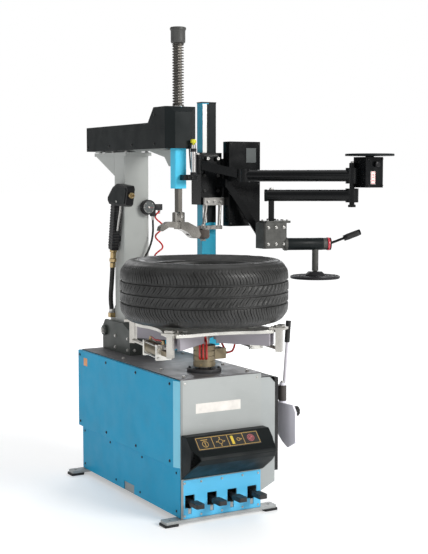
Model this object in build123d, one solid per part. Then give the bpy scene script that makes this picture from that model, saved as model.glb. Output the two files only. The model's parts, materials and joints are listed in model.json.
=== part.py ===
"""Free-standing tyre changer with a tilting column and a right-hand assist arm, one STEP file per piece.

Frame: millimetres, +Z up, front towards -Y, right-hand side towards +X. The origin is on the floor at the
centre of the four anchor holes.
"""
from build123d import *
import math
import os

# ---- driving dimensions ----
CABINET_HALF_WIDTH = 186.0
CABINET_HALF_DEPTH = 482.0
CABINET_FLOOR_Z = 22.0
CABINET_TOP_Z = 590.0
SHEET = 4.0
ANCHOR_X = 235.0
ANCHOR_Y = 470.0
ANCHOR_R = 7.0
PAD_THICKNESS = 10.0

TABLE_Y = -343.0
TABLE_TOP_Z = 780.0
TABLE_PLATE = 14.0
TABLE_SIDE = 470.0
JAW_RADIUS = 330.0
JAW_ANGLES = (217.0, 127.0, 37.0, 307.0)
JAW_TRAVEL = 90.0
JAW_NECK = 25.0
CLAMP_AXIS_Z = 702.0

TYRE_RADIUS = 350.0
TYRE_BOTTOM_Z = 805.0
TYRE_TOP_Z = 1057.0
BEAD_RADIUS = 215.0

COLUMN_HALF_WIDTH = 63.0
COLUMN_FRONT_Y = 285.0
COLUMN_REAR_Y = 389.0
COLUMN_FOOT_Z = 606.0
COLUMN_TOP_Z = 1490.0
COLUMN_RAIL_END_Y = 556.0
TILT_Y = 440.0
TILT_Z = 678.0
TILT_PIN_R = 12.0
RUNNING = 0.08

ARM_HALF_WIDTH = 74.0
ARM_REAR_Y = 694.0
ARM_NOSE_Y = -167.0
ARM_BOTTOM_Z = 1515.0
ARM_TOP_Z = 1628.0
NOSE_TOP_Z = 1692.0

SHAFT_Y = -120.0
HEX_FLATS = 32.0
GUIDE_BOTTOM_Z = 1345.0
SPRING_TOP_Z = 1958.0
MACHINE_TOP_Z = 2025.0
COLLAR_BOTTOM_Z = 1203.0

POST_X0, POST_X1 = 330.0, 406.0
POST_Y0, POST_Y1 = 260.0, 308.0
POST_TOP_Z = 1740.0
CARRIAGE_Z0, CARRIAGE_Z1 = 1264.0, 1507.0

UPPER_HINGE = (262.0, 178.0)
ELBOW = (458.0, 100.0)
LOWER_HINGE = (860.0, -200.0)
SWIVEL = (540.0, -15.0)
PRESS_TUBE_END = (782.0, -112.0)
PRESS_DISC = (733.0, -92.0)

BREAKER_PIVOT = (240.0, 430.0)
BLADE_PIVOT = (356.0, -395.0)
BREAKER_Z0, BREAKER_Z1 = 440.0, 505.0

PEDAL_XS = {"pedal_tilt": -150.0, "pedal_breaker": -47.0, "pedal_jaws": 48.0, "pedal_turntable": 144.0}
PEDAL_SHAFT_Y = -380.0
PEDAL_SHAFT_Z = 92.0
PEDAL_SHAFT_R = 8.0


# ---- shape helpers ----
def block(x0, x1, y0, y1, z0, z1):
    """A box between two corners."""
    return Pos((x0 + x1) / 2, (y0 + y1) / 2, (z0 + z1) / 2) * Box(x1 - x0, y1 - y0, z1 - z0)


def upright(x, y, radius, z0, z1):
    """A vertical cylinder."""
    return Pos(x, y, (z0 + z1) / 2) * Cylinder(radius, z1 - z0)


def rod(start, end, radius):
    """A cylinder between two points."""
    a, b = Vector(*start), Vector(*end)
    place = Plane(origin=a, z_dir=b - a).location
    return place * Cylinder(radius, (b - a).length, align=(Align.CENTER, Align.CENTER, Align.MIN))


def bar(start, end, width, height):
    """A rectangular bar between two points; width is horizontal, height is in the upright plane."""
    a, b = Vector(*start), Vector(*end)
    along = (b - a).normalized()
    side = along.cross(Vector(0, 0, 1)).normalized()
    place = Plane(origin=a, x_dir=side, z_dir=along).location
    return place * Box(width, height, (b - a).length, align=(Align.CENTER, Align.CENTER, Align.MIN))


def prism_x(outline_yz, x0, x1):
    """An outline in the Y-Z plane, run along X."""
    face = make_face(Polyline(*[(x0, y, z) for y, z in outline_yz], close=True))
    return extrude(face, amount=x1 - x0, dir=(1, 0, 0))


def prism_y(outline_xz, y0, y1):
    """An outline in the X-Z plane, run along Y."""
    face = make_face(Polyline(*[(x, y0, z) for x, z in outline_xz], close=True))
    return extrude(face, amount=y1 - y0, dir=(0, 1, 0))


def prism_z(outline_xy, z0, z1):
    """A plan outline, run along Z."""
    face = make_face(Polyline(*[(x, y, z0) for x, y in outline_xy], close=True))
    return extrude(face, amount=z1 - z0, dir=(0, 0, 1))


def round_upright(shape, radius):
    """The shape with its vertical edges rounded."""
    return fillet(shape.edges().filter_by(Axis.Z), radius)


def hose(name, route, radius):
    """A tube along straight runs joined by arcs as large as the runs allow; prints the arc radii."""
    points = [Vector(*p) for p in route]
    radii = []
    for before, here, after in zip(points, points[1:], points[2:]):
        turn = math.radians((here - before).get_angle(after - here))
        run = min((here - before).length, (after - here).length)
        radii.append(0.45 * run / math.tan(turn / 2))
    path = FilletPolyline(*points, radius=radii)
    section = Plane(origin=points[0], z_dir=points[1] - points[0]) * Circle(radius)
    tube = sweep(section, path=path)
    expected = math.pi * radius ** 2 * path.length
    print(name, "arc radii", [round(r) for r in radii], "length", round(path.length),
          "volume ratio", round(tube.volume / expected, 4))
    return tube


def save(name, *shapes):
    """One STEP file holding the piece's solids."""
    solids = [s for shape in shapes for s in shape.solids()]
    export_step(Compound(children=solids) if len(solids) > 1 else solids[0], f"parts/{name}.step")


os.makedirs("parts", exist_ok=True)


# ---- base ----
def foot_bars():
    bars = []
    for y in (-ANCHOR_Y, ANCHOR_Y):
        plate = block(-262, 262, y - 27, y + 27, PAD_THICKNESS, CABINET_FLOOR_Z)
        plate = round_upright(plate, 8)
        for x in (-ANCHOR_X, ANCHOR_X):
            plate -= upright(x, y, ANCHOR_R, 0, CABINET_FLOOR_Z + 1)
        bars.append(plate)
    return bars


def foot_pads():
    pads = []
    for x in (-ANCHOR_X, ANCHOR_X):
        for y in (-ANCHOR_Y, ANCHOR_Y):
            pad = round_upright(block(x - 32, x + 32, y - 31, y + 31, 0, PAD_THICKNESS), 8)
            pads.append(pad - upright(x, y, ANCHOR_R, -1, PAD_THICKNESS + 1))
    return pads


def cabinet_frame():
    w, d = CABINET_HALF_WIDTH, CABINET_HALF_DEPTH
    outer = block(-w, w, -d, d, CABINET_FLOOR_Z, CABINET_TOP_Z - SHEET)
    inner = block(-w + SHEET, w - SHEET, -d - 1, d - SHEET, CABINET_FLOOR_Z + SHEET, CABINET_TOP_Z)
    service_opening = block(-w - 1, -w + SHEET + 1, -430, 430, 60, 540)
    rod_hole = rod((w - SHEET - 1, BREAKER_ROD_Y, BREAKER_ROD_Z), (w + 1, BREAKER_ROD_Y, BREAKER_ROD_Z), 26)
    inlet_hole = rod((120, d - SHEET - 1, 300), (120, d + 1, 300), 12)
    shell = outer - inner - service_opening - rod_hole - inlet_hole
    x, y = BREAKER_PIVOT
    for z0 in (400, 516):
        lug = block(w - 0.5, x, y - 30, y + 30, z0, z0 + 20) + upright(x, y, 30, z0, z0 + 20)
        shell += lug
    return shell + upright(x, y, 15, 392, 544)


def top_plate():
    plate = block(-190, 190, -486, 486, CABINET_TOP_Z - SHEET, CABINET_TOP_Z)
    plate -= upright(0, TABLE_Y, 46, CABINET_TOP_Z - SHEET - 1, CABINET_TOP_Z + 1)
    return plate - block(-24, 24, 396, 466, CABINET_TOP_Z - SHEET - 1, CABINET_TOP_Z + 1)


COVER_FACE_X = -204.0
COVER_STEP_Z = 228.0


def side_cover():
    """Upper shell stands 14 mm proud with a bevelled front edge; the lower panel lies flat."""
    inner_x = -CABINET_HALF_WIDTH
    outline = [(inner_x, -486), (-190, -486), (COVER_FACE_X, -450), (COVER_FACE_X, 500), (inner_x, 500)]
    upper = prism_z(outline, COVER_STEP_Z, CABINET_TOP_Z - SHEET)
    pocket = prism_z([(inner_x + 1, -470), (-190, -470), (-201, -446), (-201, 496), (inner_x + 1, 496)],
                     COVER_STEP_Z + 3, CABINET_TOP_Z - SHEET - 3)
    lower = block(-190, inner_x, -482, 486, CABINET_FLOOR_Z + 2, COVER_STEP_Z)
    tool_slot = block(-191, inner_x + 1, -60, 40, 24, 62)
    return upper - pocket + lower - tool_slot


def front_panel():
    panel = block(-CABINET_HALF_WIDTH, 190, -486, -482, CABINET_FLOOR_Z, CABINET_TOP_Z - SHEET)
    for x in PEDAL_XS.values():
        panel -= block(x - 22, x + 22, -487, -481, 62, 122)
    return panel


PEDAL_PLATE_TOP_Z = 180.0


def pedal_plate():
    plate = block(-CABINET_HALF_WIDTH, CABINET_HALF_WIDTH, -490, -486, CABINET_FLOOR_Z, PEDAL_PLATE_TOP_Z)
    for x in PEDAL_XS.values():
        plate -= block(x - 22, x + 22, -491, -485, 66, 118)
        plate -= block(x - 8, x + 8, -491, -485, 40, 67)
    return plate


def pedal_hood():
    """Moulded guard over the pedals: sloped label face, blunt nose, underside open above the pedals."""
    outer = prism_x([(-486, 365), (-530, 365), (-580, 312), (-612, 300), (-620, 286), (-598, 262),
                     (-486, 182)], -188, 200)
    inner = prism_x([(-485, 361), (-528, 361), (-577, 309), (-608, 297), (-614, 287), (-594, 267),
                     (-485, 189)], -184, 196)
    bevels = prism_z([(-188, -486), (-188, -560), (-168, -622), (180, -622), (200, -560), (200, -486)],
                     180, 366)
    return outer & bevels - inner


def pedal_shaft():
    x_end = CABINET_HALF_WIDTH - SHEET
    return rod((-x_end, PEDAL_SHAFT_Y, PEDAL_SHAFT_Z), (x_end, PEDAL_SHAFT_Y, PEDAL_SHAFT_Z), PEDAL_SHAFT_R)


def pedal(x):
    """Lever on the pedal shaft, with a ribbed tread outside the plate."""
    y, z = PEDAL_SHAFT_Y, PEDAL_SHAFT_Z
    hub = rod((x - 15, y, z), (x + 15, y, z), 16)
    lever = block(x - 7, x + 7, -560, y - 8, z - 9, z + 9)
    tread = block(x - 19, x + 19, -582, -516, z - 9, z + 9)
    tread = fillet(tread.edges().filter_by(Axis.Z), 7)
    grooves = [block(x - 20, x + 20, -574 + 12 * i, -570 + 12 * i, z + 6, z + 10) for i in range(5)]
    shape = hub + lever + tread
    for groove in grooves:
        shape -= groove
    return shape - rod((x - 16, y, z), (x + 16, y, z), PEDAL_SHAFT_R + RUNNING)


# ---- drive ----
BELT_X = -112.0
GEARBOX_PULLEY = (-290.0, 500.0)
GEARBOX_PULLEY_R = 75.0
MOTOR_PULLEY = (-130.0, 190.0)
MOTOR_PULLEY_R = 25.0
BELT_WIDTH = 18.0
BELT_THICKNESS = 5.0
SPINDLE_R = 22.0


def gearbox():
    body = block(-70, 70, TABLE_Y - 92, TABLE_Y + 92, 440, 576)
    body = fillet(body.edges().filter_by(Axis.Z), 18)
    neck = upright(0, TABLE_Y, 45, 575, 590)
    collar = upright(0, TABLE_Y, 72, CABINET_TOP_Z, 604)
    collar = fillet(collar.edges().group_by(Axis.Z)[-1], 4)
    mounting = block(-90, 90, TABLE_Y - 100, TABLE_Y + 100, 576, 586)
    y, z = GEARBOX_PULLEY
    worm_boss = rod((-92, y, z), (-60, y, z), 24)
    bore = upright(0, TABLE_Y, SPINDLE_R + RUNNING, 470, 610)
    worm_bore = rod((-93, y, z), (-50, y, z), 9 + RUNNING)
    return body + mounting + neck + collar + worm_boss - bore - worm_bore


def drive_motor():
    y, z = MOTOR_PULLEY
    body = rod((-70, y, z), (130, y, z), 62)
    foot = block(-50, -34, y - 56, y + 56, 26, 130) + block(94, 110, y - 56, y + 56, 26, 130)
    bore = rod((-71, y, z), (-30, y, z), 7 + RUNNING)
    return body + foot - bore


def pulley(centre_yz, radius, stub_end_x, stub_r):
    y, z = centre_yz
    half = BELT_WIDTH / 2 + 3
    rim = rod((BELT_X - half, y, z), (BELT_X + half, y, z), radius)
    return rim + rod((BELT_X, y, z), (stub_end_x, y, z), stub_r)


def belt_outline(offset):
    """Plan of the loop round both pulleys, at a distance from their rims."""
    (y1, z1), (y2, z2) = GEARBOX_PULLEY, MOTOR_PULLEY
    r1, r2 = GEARBOX_PULLEY_R + offset, MOTOR_PULLEY_R + offset
    lean = math.atan2(z2 - z1, y2 - y1)
    open_angle = math.acos((r1 - r2) / math.dist(GEARBOX_PULLEY, MOTOR_PULLEY))
    tangents = []
    for side in (1, -1):
        a = lean + side * open_angle
        c, s = math.cos(a), math.sin(a)
        tangents.append(((y1 + r1 * c, z1 + r1 * s), (y2 + r2 * c, z2 + r2 * s)))
    hull = prism_x([tangents[0][0], tangents[0][1], tangents[1][1], tangents[1][0]], *BELT_SPAN)
    big = rod((BELT_SPAN[0], y1, z1), (BELT_SPAN[1], y1, z1), r1)
    small = rod((BELT_SPAN[0], y2, z2), (BELT_SPAN[1], y2, z2), r2)
    return hull + big + small


BELT_SPAN = (BELT_X - BELT_WIDTH / 2, BELT_X + BELT_WIDTH / 2)
BELT_CLEARANCE = 0.4


def drive_belt():
    return belt_outline(BELT_CLEARANCE + BELT_THICKNESS) - belt_outline(BELT_CLEARANCE)


BREAKER_ROD_Y, BREAKER_ROD_Z = 150.0, 472.0
BREAKER_ROD_END_X = 236.0
BREAKER_BORE_R = 82.0


def breaker_cylinder():
    """Large short-stroke cylinder lying across the cabinet on two saddle plates, rod to the right."""
    barrel = rod((-150, BREAKER_ROD_Y, BREAKER_ROD_Z), (150, BREAKER_ROD_Y, BREAKER_ROD_Z), 88)
    for x0, x1 in ((-160, -150), (150, 162)):
        barrel += rod((x0, BREAKER_ROD_Y, BREAKER_ROD_Z), (x1, BREAKER_ROD_Y, BREAKER_ROD_Z), 94)
    for x0, x1 in ((-120, -110), (110, 120)):
        barrel += block(x0, x1, BREAKER_ROD_Y - 70, BREAKER_ROD_Y + 70, 26, BREAKER_ROD_Z - 50)
    barrel -= rod((-150, BREAKER_ROD_Y, BREAKER_ROD_Z), (150, BREAKER_ROD_Y, BREAKER_ROD_Z), BREAKER_BORE_R)
    return barrel - rod((149, BREAKER_ROD_Y, BREAKER_ROD_Z), (163, BREAKER_ROD_Y, BREAKER_ROD_Z), 12 + RUNNING)


def breaker_rod():
    """Piston, rod and the round end that meets the breaker arm."""
    shape = rod((-60, BREAKER_ROD_Y, BREAKER_ROD_Z), (BREAKER_ROD_END_X, BREAKER_ROD_Y, BREAKER_ROD_Z), 12)
    shape += rod((-60, BREAKER_ROD_Y, BREAKER_ROD_Z), (-44, BREAKER_ROD_Y, BREAKER_ROD_Z),
                 BREAKER_BORE_R - 4 * RUNNING)
    return shape + rod((214, BREAKER_ROD_Y, BREAKER_ROD_Z), (BREAKER_ROD_END_X, BREAKER_ROD_Y, BREAKER_ROD_Z), 18)


def tilt_cylinder():
    """Column cylinder inside the rear of the cabinet; its rod eye stands under the column slot."""
    x, y = 0, 431
    barrel = upright(x, y, 36, 60, 430)
    heads = block(x - 40, x + 40, y - 40, y + 40, 430, 448) + block(x - 40, x + 40, y - 40, y + 40, 26, 60)
    piston_rod = upright(x, y, 10, 448, 560)
    eye = block(x - 12, x + 12, y - 14, y + 14, 545, 582) - rod((x - 13, y, 566), (x + 13, y, 566), 7)
    return barrel + heads + piston_rod + eye


def air_inlet():
    x, z = 120, 300
    y = CABINET_HALF_DEPTH
    body = rod((x, y - 16, z), (x, y + 30, z), 11.5) + rod((x, y, z), (x, y + 8, z), 18)
    return body - rod((x, y + 5, z), (x, y + 31, z), 6)


# ---- bead breaker ----
def wheel_pad_bracket():
    outline = [(190, 86), (262, 120), (262, 540), (236, 566), (190, 566)]
    box_section = prism_y(outline, -480, -330)
    hollow = prism_y([(189, 96), (256, 126), (256, 536), (233, 560), (189, 560)], -474, -336)
    return box_section - hollow + block(186.2, 190.2, -480, -330, 86, 566)


def wheel_pad():
    pad = block(262, 280, -478, -332, 165, 560)
    for i in range(9):
        y = -466 + 15 * i
        pad -= block(276, 281, y, y + 5, 164, 561)
    return pad


def breaker_arm():
    """Pivot barrel, beam, blade barrel, and the guide handle that stands on it."""
    (px, py), (bx, by) = BREAKER_PIVOT, BLADE_PIVOT
    z0, z1 = BREAKER_Z0, BREAKER_Z1
    beam = bar((px + 8, py - 20, 472), (bx - 2, by + 14, 472), 36, 60)
    shape = beam + upright(px, py, 30, 424, 512) + upright(bx, by, 17, z0, z1)
    shape -= upright(px, py, 15 + RUNNING, 423, 513)
    shape -= upright(bx, by, 9 + RUNNING, z0 - 1, z1 + 1)
    handle = rod((bx + 14, by + 12, 486), (402.4, -367.7, 770), 6)
    grip = rod((392.8, -372.4, 686), (403.3, -367.3, 778), 11)
    return shape + handle, grip - handle


def breaker_blade():
    """Spade on a pivot pin: a dished plate, pointed below and cut back to the rear, with a round knob."""
    bx, by = BLADE_PIVOT
    centre_x = bx - 14 + 260
    z0, z1 = 250, 436
    outline = [(by - 92, z1), (by - 106, z1 - 30), (by - 107, z0 + 26), (by - 66, z0), (by - 30, z0 + 22),
               (by + 50, z0 + 86), (by + 66, z1 - 40), (by + 58, z1)]
    dish = upright(centre_x, by - 14, 268, z0 - 5, z1 + 5) - upright(centre_x, by - 14, 260, z0 - 6, z1 + 6)
    plate = prism_x(outline, bx - 30, bx + 30) & dish
    plate += rod((bx - 12, by - 55, 400), (bx + 24, by - 55, 400), 7)
    plate += rod((bx + 22, by - 55, 400), (bx + 40, by - 55, 400), 20)
    web = block(bx - 20, bx + 8, by - 12, by + 12, 300, 432)
    pin = upright(bx, by, 9, 430, 516) + upright(bx, by, 13, 506, 518)
    return plate + web + upright(bx, by, 16, 425, 439) + pin


# ---- turntable ----
def at_angle(angle, radius=0.0):
    """A place on the turntable: X local runs outwards at this angle."""
    return Pos(0, TABLE_Y, 0) * Rot(0, 0, angle) * Pos(radius, 0, 0)


EDGE_CURVE_R = 420.0
EDGE_CURVE_DEPTH = 26.0


def turntable_plate():
    z0 = TABLE_TOP_Z - TABLE_PLATE
    plate = Box(TABLE_SIDE, TABLE_SIDE, TABLE_PLATE)
    plate = chamfer(plate.edges().filter_by(Axis.Z), 26)
    plate = Pos(0, TABLE_Y, z0 + TABLE_PLATE / 2) * Rot(0, 0, JAW_ANGLES[2] - 45) * plate
    slot_centre = JAW_RADIUS - JAW_TRAVEL / 2 - 5
    slot = Pos(0, 0, z0 + TABLE_PLATE / 2) * Box(JAW_TRAVEL + 80, JAW_NECK + 2, TABLE_PLATE + 2)
    for angle in JAW_ANGLES:
        plate -= at_angle(angle, slot_centre) * slot
        edge = at_angle(angle + 45, TABLE_SIDE / 2 + EDGE_CURVE_R - EDGE_CURVE_DEPTH)
        plate -= edge * Pos(0, 0, z0 + TABLE_PLATE / 2) * Cylinder(EDGE_CURVE_R, TABLE_PLATE + 2)
    return plate - upright(0, TABLE_Y, 30, z0 - 1, TABLE_TOP_Z + 1)


def turntable_shaft():
    spindle = upright(0, TABLE_Y, SPINDLE_R, 480, 766)
    flange = upright(0, TABLE_Y, 58, 746, 766)
    hub = upright(0, TABLE_Y, 30, 766, TABLE_TOP_Z + 4)
    return spindle + flange + hub


def slide_guides():
    cheeks = []
    for angle in JAW_ANGLES:
        for side in (-1, 1):
            cheek = Pos(180, side * 21, 740) * Box(236, 14, 51)
            cheeks.append(at_angle(angle) * (cheek - Pos(60, side * 21, 720) * Box(10, 20, 20)))
    return cheeks


def rotary_coupling():
    """Air coupling under the table, clamped round the spindle, with two outlet blocks."""
    ring = upright(0, TABLE_Y, 46, 612, 700)
    for z in (634, 656, 678):
        ring -= upright(0, TABLE_Y, 47, z, z + 3) - upright(0, TABLE_Y, 42, z - 1, z + 4)
    outlet = block(30, 88, TABLE_Y - 30, TABLE_Y + 30, 640, 684)
    return ring + outlet - upright(0, TABLE_Y, SPINDLE_R, 600, 710)


CLAMP_START = 76.0
CLAMP_BARREL = 170.0
CLAMP_CAP = 14.0


def clamp_line(jaw, towards):
    """A place at one jaw's centre whose local X runs along the table side to its partner jaw."""
    here, there = (math.radians(JAW_ANGLES[i]) for i in (jaw, towards))
    dx = JAW_RADIUS * (math.cos(there) - math.cos(here))
    dy = JAW_RADIUS * (math.sin(there) - math.sin(here))
    start = Pos(JAW_RADIUS * math.cos(here), TABLE_Y + JAW_RADIUS * math.sin(here), CLAMP_AXIS_Z)
    return start * Rot(0, 0, math.degrees(math.atan2(dy, dx)))


def along_x(x0, x1, radius):
    return rod((x0, 0, 0), (x1, 0, 0), radius)


def clamp_barrel(jaw, towards):
    end = CLAMP_START + CLAMP_BARREL
    barrel = along_x(CLAMP_START, end, 27)
    for x in (CLAMP_START, end - CLAMP_CAP):
        barrel += Pos(x + CLAMP_CAP / 2, 0, 0) * Box(CLAMP_CAP, 62, 62)
    barrel -= along_x(CLAMP_START + CLAMP_CAP, end - CLAMP_CAP, 23)
    barrel -= along_x(end - CLAMP_CAP - 1, end + 1, 8 + RUNNING)
    lug = Pos(40, 0, 0) * Box(78, 24, 20)
    return clamp_line(jaw, towards) * (barrel + lug)


def clamp_rod(jaw, towards):
    """Rod and piston, in the frame of the jaw that pushes them."""
    span = JAW_RADIUS * math.sqrt(2)
    piston_face = span - (CLAMP_START + CLAMP_BARREL - CLAMP_CAP - 2)
    piston = along_x(piston_face, piston_face + 12, 22.6)
    return clamp_line(jaw, towards) * (along_x(8, piston_face + 1, 8) + piston)


def clamp_jaw(angle):
    shoe = Pos(-2, 0, 786) * Box(64, 54, 9)
    tooth = Pos(6, 0, 796) * Box(26, 38, 12)
    tooth = chamfer(tooth.edges().group_by(Axis.Z)[-1], 3)
    neck = Pos(0, 0, 737) * Box(24, JAW_NECK, 94)
    return at_angle(angle, JAW_RADIUS) * (shoe + tooth + neck)


def loaded_tyre():
    """Bare car tyre lying flat: crowned tread, three grooves, open bead hole."""
    z0, z1 = TYRE_BOTTOM_Z, TYRE_TOP_Z
    zm = (z0 + z1) / 2
    half = (z1 - z0) / 2
    profile = [(BEAD_RADIUS, zm - 92), (BEAD_RADIUS + 12, zm - 104), (BEAD_RADIUS + 60, zm - half),
               (BEAD_RADIUS + 92, zm - half), (TYRE_RADIUS - 16, zm - 98), (TYRE_RADIUS - 4, zm - 82),
               (TYRE_RADIUS, zm)]
    upper = [(r, 2 * zm - z) for r, z in reversed(profile[:-1])]
    inner_upper = [(BEAD_RADIUS, zm + 72), (BEAD_RADIUS + 18, zm + 84), (BEAD_RADIUS + 66, zm + 112),
                   (TYRE_RADIUS - 44, zm + 112), (TYRE_RADIUS - 26, zm + 88), (TYRE_RADIUS - 17, zm + 66)]
    inner_lower = [(r, 2 * zm - z) for r, z in reversed(inner_upper)]
    outline = profile + upper + inner_upper + inner_lower
    face = make_face(Polyline(*[(r, 0, z) for r, z in outline], close=True))
    tyre = revolve(face, Axis.Z, 360)
    for z in (zm - 44, zm, zm + 44):
        groove = Pos(0, 0, z) * (Cylinder(TYRE_RADIUS + 1, 9) - Cylinder(TYRE_RADIUS - 9, 10))
        tyre -= groove
    return Pos(0, TABLE_Y, 0) * tyre


# ---- column ----
def column_base():
    """Two cheeks, a front wall, a sloped front cover and a base plate; the pivot pin is a second solid."""
    side = [(180, 590), (470, 590), (470, 700), (445, 730), (250, 730), (180, 700)]
    cheeks = prism_x(side, -90, -78) + prism_x(side, 78, 90)
    base = block(-90, 90, 180, 470, 590, 600) - block(-24, 24, 396, 466, 589, 601)
    front = block(-90, 90, 180, 190, 590, 700)
    cover = prism_x([(180, 690), (180, 700), (250, 730), (272, 730), (272, 720), (252, 720)], -90, 90)
    housing = cheeks + base + front + cover
    housing -= rod((-95, TILT_Y, TILT_Z), (95, TILT_Y, TILT_Z), TILT_PIN_R)
    pin = rod((-92, TILT_Y, TILT_Z), (92, TILT_Y, TILT_Z), TILT_PIN_R)
    for x0, x1 in ((-102, -91), (91, 102)):
        pin += rod((x0, TILT_Y, TILT_Z), (x1, TILT_Y, TILT_Z), 24)
    return housing, pin


def column_tube():
    """Square tube with a pivot foot behind it, a head plate with a slide rail, and a rear gusset."""
    w = COLUMN_HALF_WIDTH
    tube = round_upright(block(-w, w, COLUMN_FRONT_Y, COLUMN_REAR_Y, COLUMN_FOOT_Z, COLUMN_TOP_Z), 6)
    tube -= block(-w + 5, w - 5, COLUMN_FRONT_Y + 5, COLUMN_REAR_Y - 5, COLUMN_FOOT_Z + 8, COLUMN_TOP_Z + 1)
    foot = prism_x([(COLUMN_REAR_Y - 3, COLUMN_FOOT_Z), (452, 640), (468, TILT_Z), (452, 712),
                    (COLUMN_REAR_Y - 3, 800)], -w, w)
    foot -= rod((-w - 1, TILT_Y, TILT_Z), (w + 1, TILT_Y, TILT_Z), TILT_PIN_R + RUNNING)
    foot -= block(-w + 13, w - 13, COLUMN_REAR_Y + 5, 470, COLUMN_FOOT_Z - 1, 801)
    head = block(-66, 66, 262, 600, COLUMN_TOP_Z, 1506)
    gusset = prism_x([(COLUMN_REAR_Y - 3, 1400), (590, COLUMN_TOP_Z + 1), (COLUMN_REAR_Y - 3, COLUMN_TOP_Z + 1)],
                     -w, w)
    gusset -= block(-w + 8, w - 8, COLUMN_REAR_Y + 5, 600, 1399, COLUMN_TOP_Z + 0.5)
    rail = block(-15, 15, 262, COLUMN_RAIL_END_Y, 1505, 1540)
    return tube + foot + head + gusset + rail


def pressure_gauge():
    """Gauge with a regulator block at the right edge of the column's front face."""
    y = COLUMN_FRONT_Y
    dial = rod((48, y - 32, 1256), (48, y - 8, 1256), 34)
    stem = block(30, 120, y - 26, y, 1242, 1270)
    outlet = block(66, 86, y - 24, y - 4, 1214, 1243)
    return dial + stem + outlet


def unions():
    """Fittings where the hoses meet the column."""
    y = COLUMN_FRONT_Y
    low = block(16, 122, y - 26, y, 968, 992)
    side = block(-COLUMN_HALF_WIDTH - 26, -COLUMN_HALF_WIDTH, 387, 413, 742, 764)
    return low + side


GUN_ROUTE = [(-90, 356, 984), (-90, 360.42, 950), (-90, 368, 900), (-89, 380, 850), (-82, 394, 812),
             (-76, 400, 786), (-76, 400, 764)]
GAUGE_ROUTE = [(76, 271, 1214), (76, 271, 1190), (74, 264, 1150), (62, 253, 1104), (44, 253, 1058),
               (32, 262, 1030), (32, 271, 1012), (32, 271, 992)]
COIL_ROUTE = [(108, 271, 1242), (108, 271, 1190), (110, 272, 1140), (108, 272, 1080), (104, 271, 1036),
              (104, 271, 992)]


def inflator_gun():
    """Angular head, broad grip and threaded tail, held by two plates on the column's left face."""
    head = prism_x([(150, 1338), (158, 1354), (262, 1364), (306, 1348), (362, 1302), (362, 1288), (346, 1272),
                    (300, 1266), (188, 1262), (170, 1270)], -110, -74)
    grip = bar((-92, 304, 1290), (-90, 346, 1062), 34, 42)
    tail = rod((-90, 345.6, 1064), (-90, 356, 984), 12)
    hook = block(-78, -63, 290, 322, 1276, 1304) + block(-78, -63, 322, 352, 1100, 1124)
    return head + grip + tail + hook


# ---- horizontal arm ----
def arm_beam():
    """Inverted channel over the column rail, with a tapered bracket that carries the guide tube."""
    channel = block(-35, 35, -60, 660, 1510, 1580) - block(-16, 16, 120, 661, 1509, 1545)
    channel -= block(-28, 28, -52, 661, 1552, 1573)
    bracket = prism_x([(130, 1511), (-96.5, 1511), (-96.5, 1440), (-70, 1440), (-30, 1480)], -20, 20)
    socket = block(-46, 46, -96.5, -60, 1530, 1598)
    return channel + bracket + socket


def arm_cover():
    """Moulded shell with a raised nose, bevelled at both ends and open underneath."""
    outline = [(ARM_REAR_Y, ARM_BOTTOM_Z), (ARM_REAR_Y, 1604), (ARM_REAR_Y - 22, ARM_TOP_Z), (22, ARM_TOP_Z),
               (-32, NOSE_TOP_Z), (-146, NOSE_TOP_Z), (ARM_NOSE_Y, 1668), (ARM_NOSE_Y, ARM_BOTTOM_Z)]
    w = ARM_HALF_WIDTH
    plan = [(-w, ARM_REAR_Y - 20), (-w + 20, ARM_REAR_Y), (w - 20, ARM_REAR_Y), (w, ARM_REAR_Y - 20),
            (w, ARM_NOSE_Y + 30), (w - 34, ARM_NOSE_Y), (-w + 34, ARM_NOSE_Y), (-w, ARM_NOSE_Y + 30)]
    inner = [(ARM_REAR_Y - 4, ARM_BOTTOM_Z - 1), (ARM_REAR_Y - 4, 1602), (ARM_REAR_Y - 24, ARM_TOP_Z - 4),
             (20, ARM_TOP_Z - 4), (-34, NOSE_TOP_Z - 4), (-145, NOSE_TOP_Z - 4), (ARM_NOSE_Y + 4, 1666),
             (ARM_NOSE_Y + 4, ARM_BOTTOM_Z - 1)]
    v = w - 4
    inner_plan = [(-v, ARM_REAR_Y - 22), (-v + 18, ARM_REAR_Y - 4), (v - 18, ARM_REAR_Y - 4),
                  (v, ARM_REAR_Y - 22), (v, ARM_NOSE_Y + 32), (v - 32, ARM_NOSE_Y + 4),
                  (-v + 32, ARM_NOSE_Y + 4), (-v, ARM_NOSE_Y + 32)]
    solid = prism_x(outline, -w, w) & prism_z(plan, ARM_BOTTOM_Z, NOSE_TOP_Z)
    cavity = prism_x(inner, -v, v) & prism_z(inner_plan, ARM_BOTTOM_Z - 1, NOSE_TOP_Z)
    return solid - cavity - upright(0, SHAFT_Y, 27, 1600, NOSE_TOP_Z + 1)


GUIDE_HALF_X = 27.5
GUIDE_HALF_Y = 23.5


def guide_tube():
    y = SHAFT_Y
    sleeve = block(-GUIDE_HALF_X, GUIDE_HALF_X, y - GUIDE_HALF_Y, y + GUIDE_HALF_Y, GUIDE_BOTTOM_Z, 1600)
    sleeve = fillet(sleeve.edges().filter_by(Axis.Z), 5)
    neck = upright(0, y, 26, 1599, NOSE_TOP_Z)
    return sleeve + neck - upright(0, y, HEX_FLATS / math.sqrt(3) + 0.5, 1340, NOSE_TOP_Z + 1)


LOCK_X, LOCK_Y, LOCK_R = 36.0, -188.0, 11.0
LOCK_BRACKET_Z = (1380.0, 1404.0)


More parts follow.
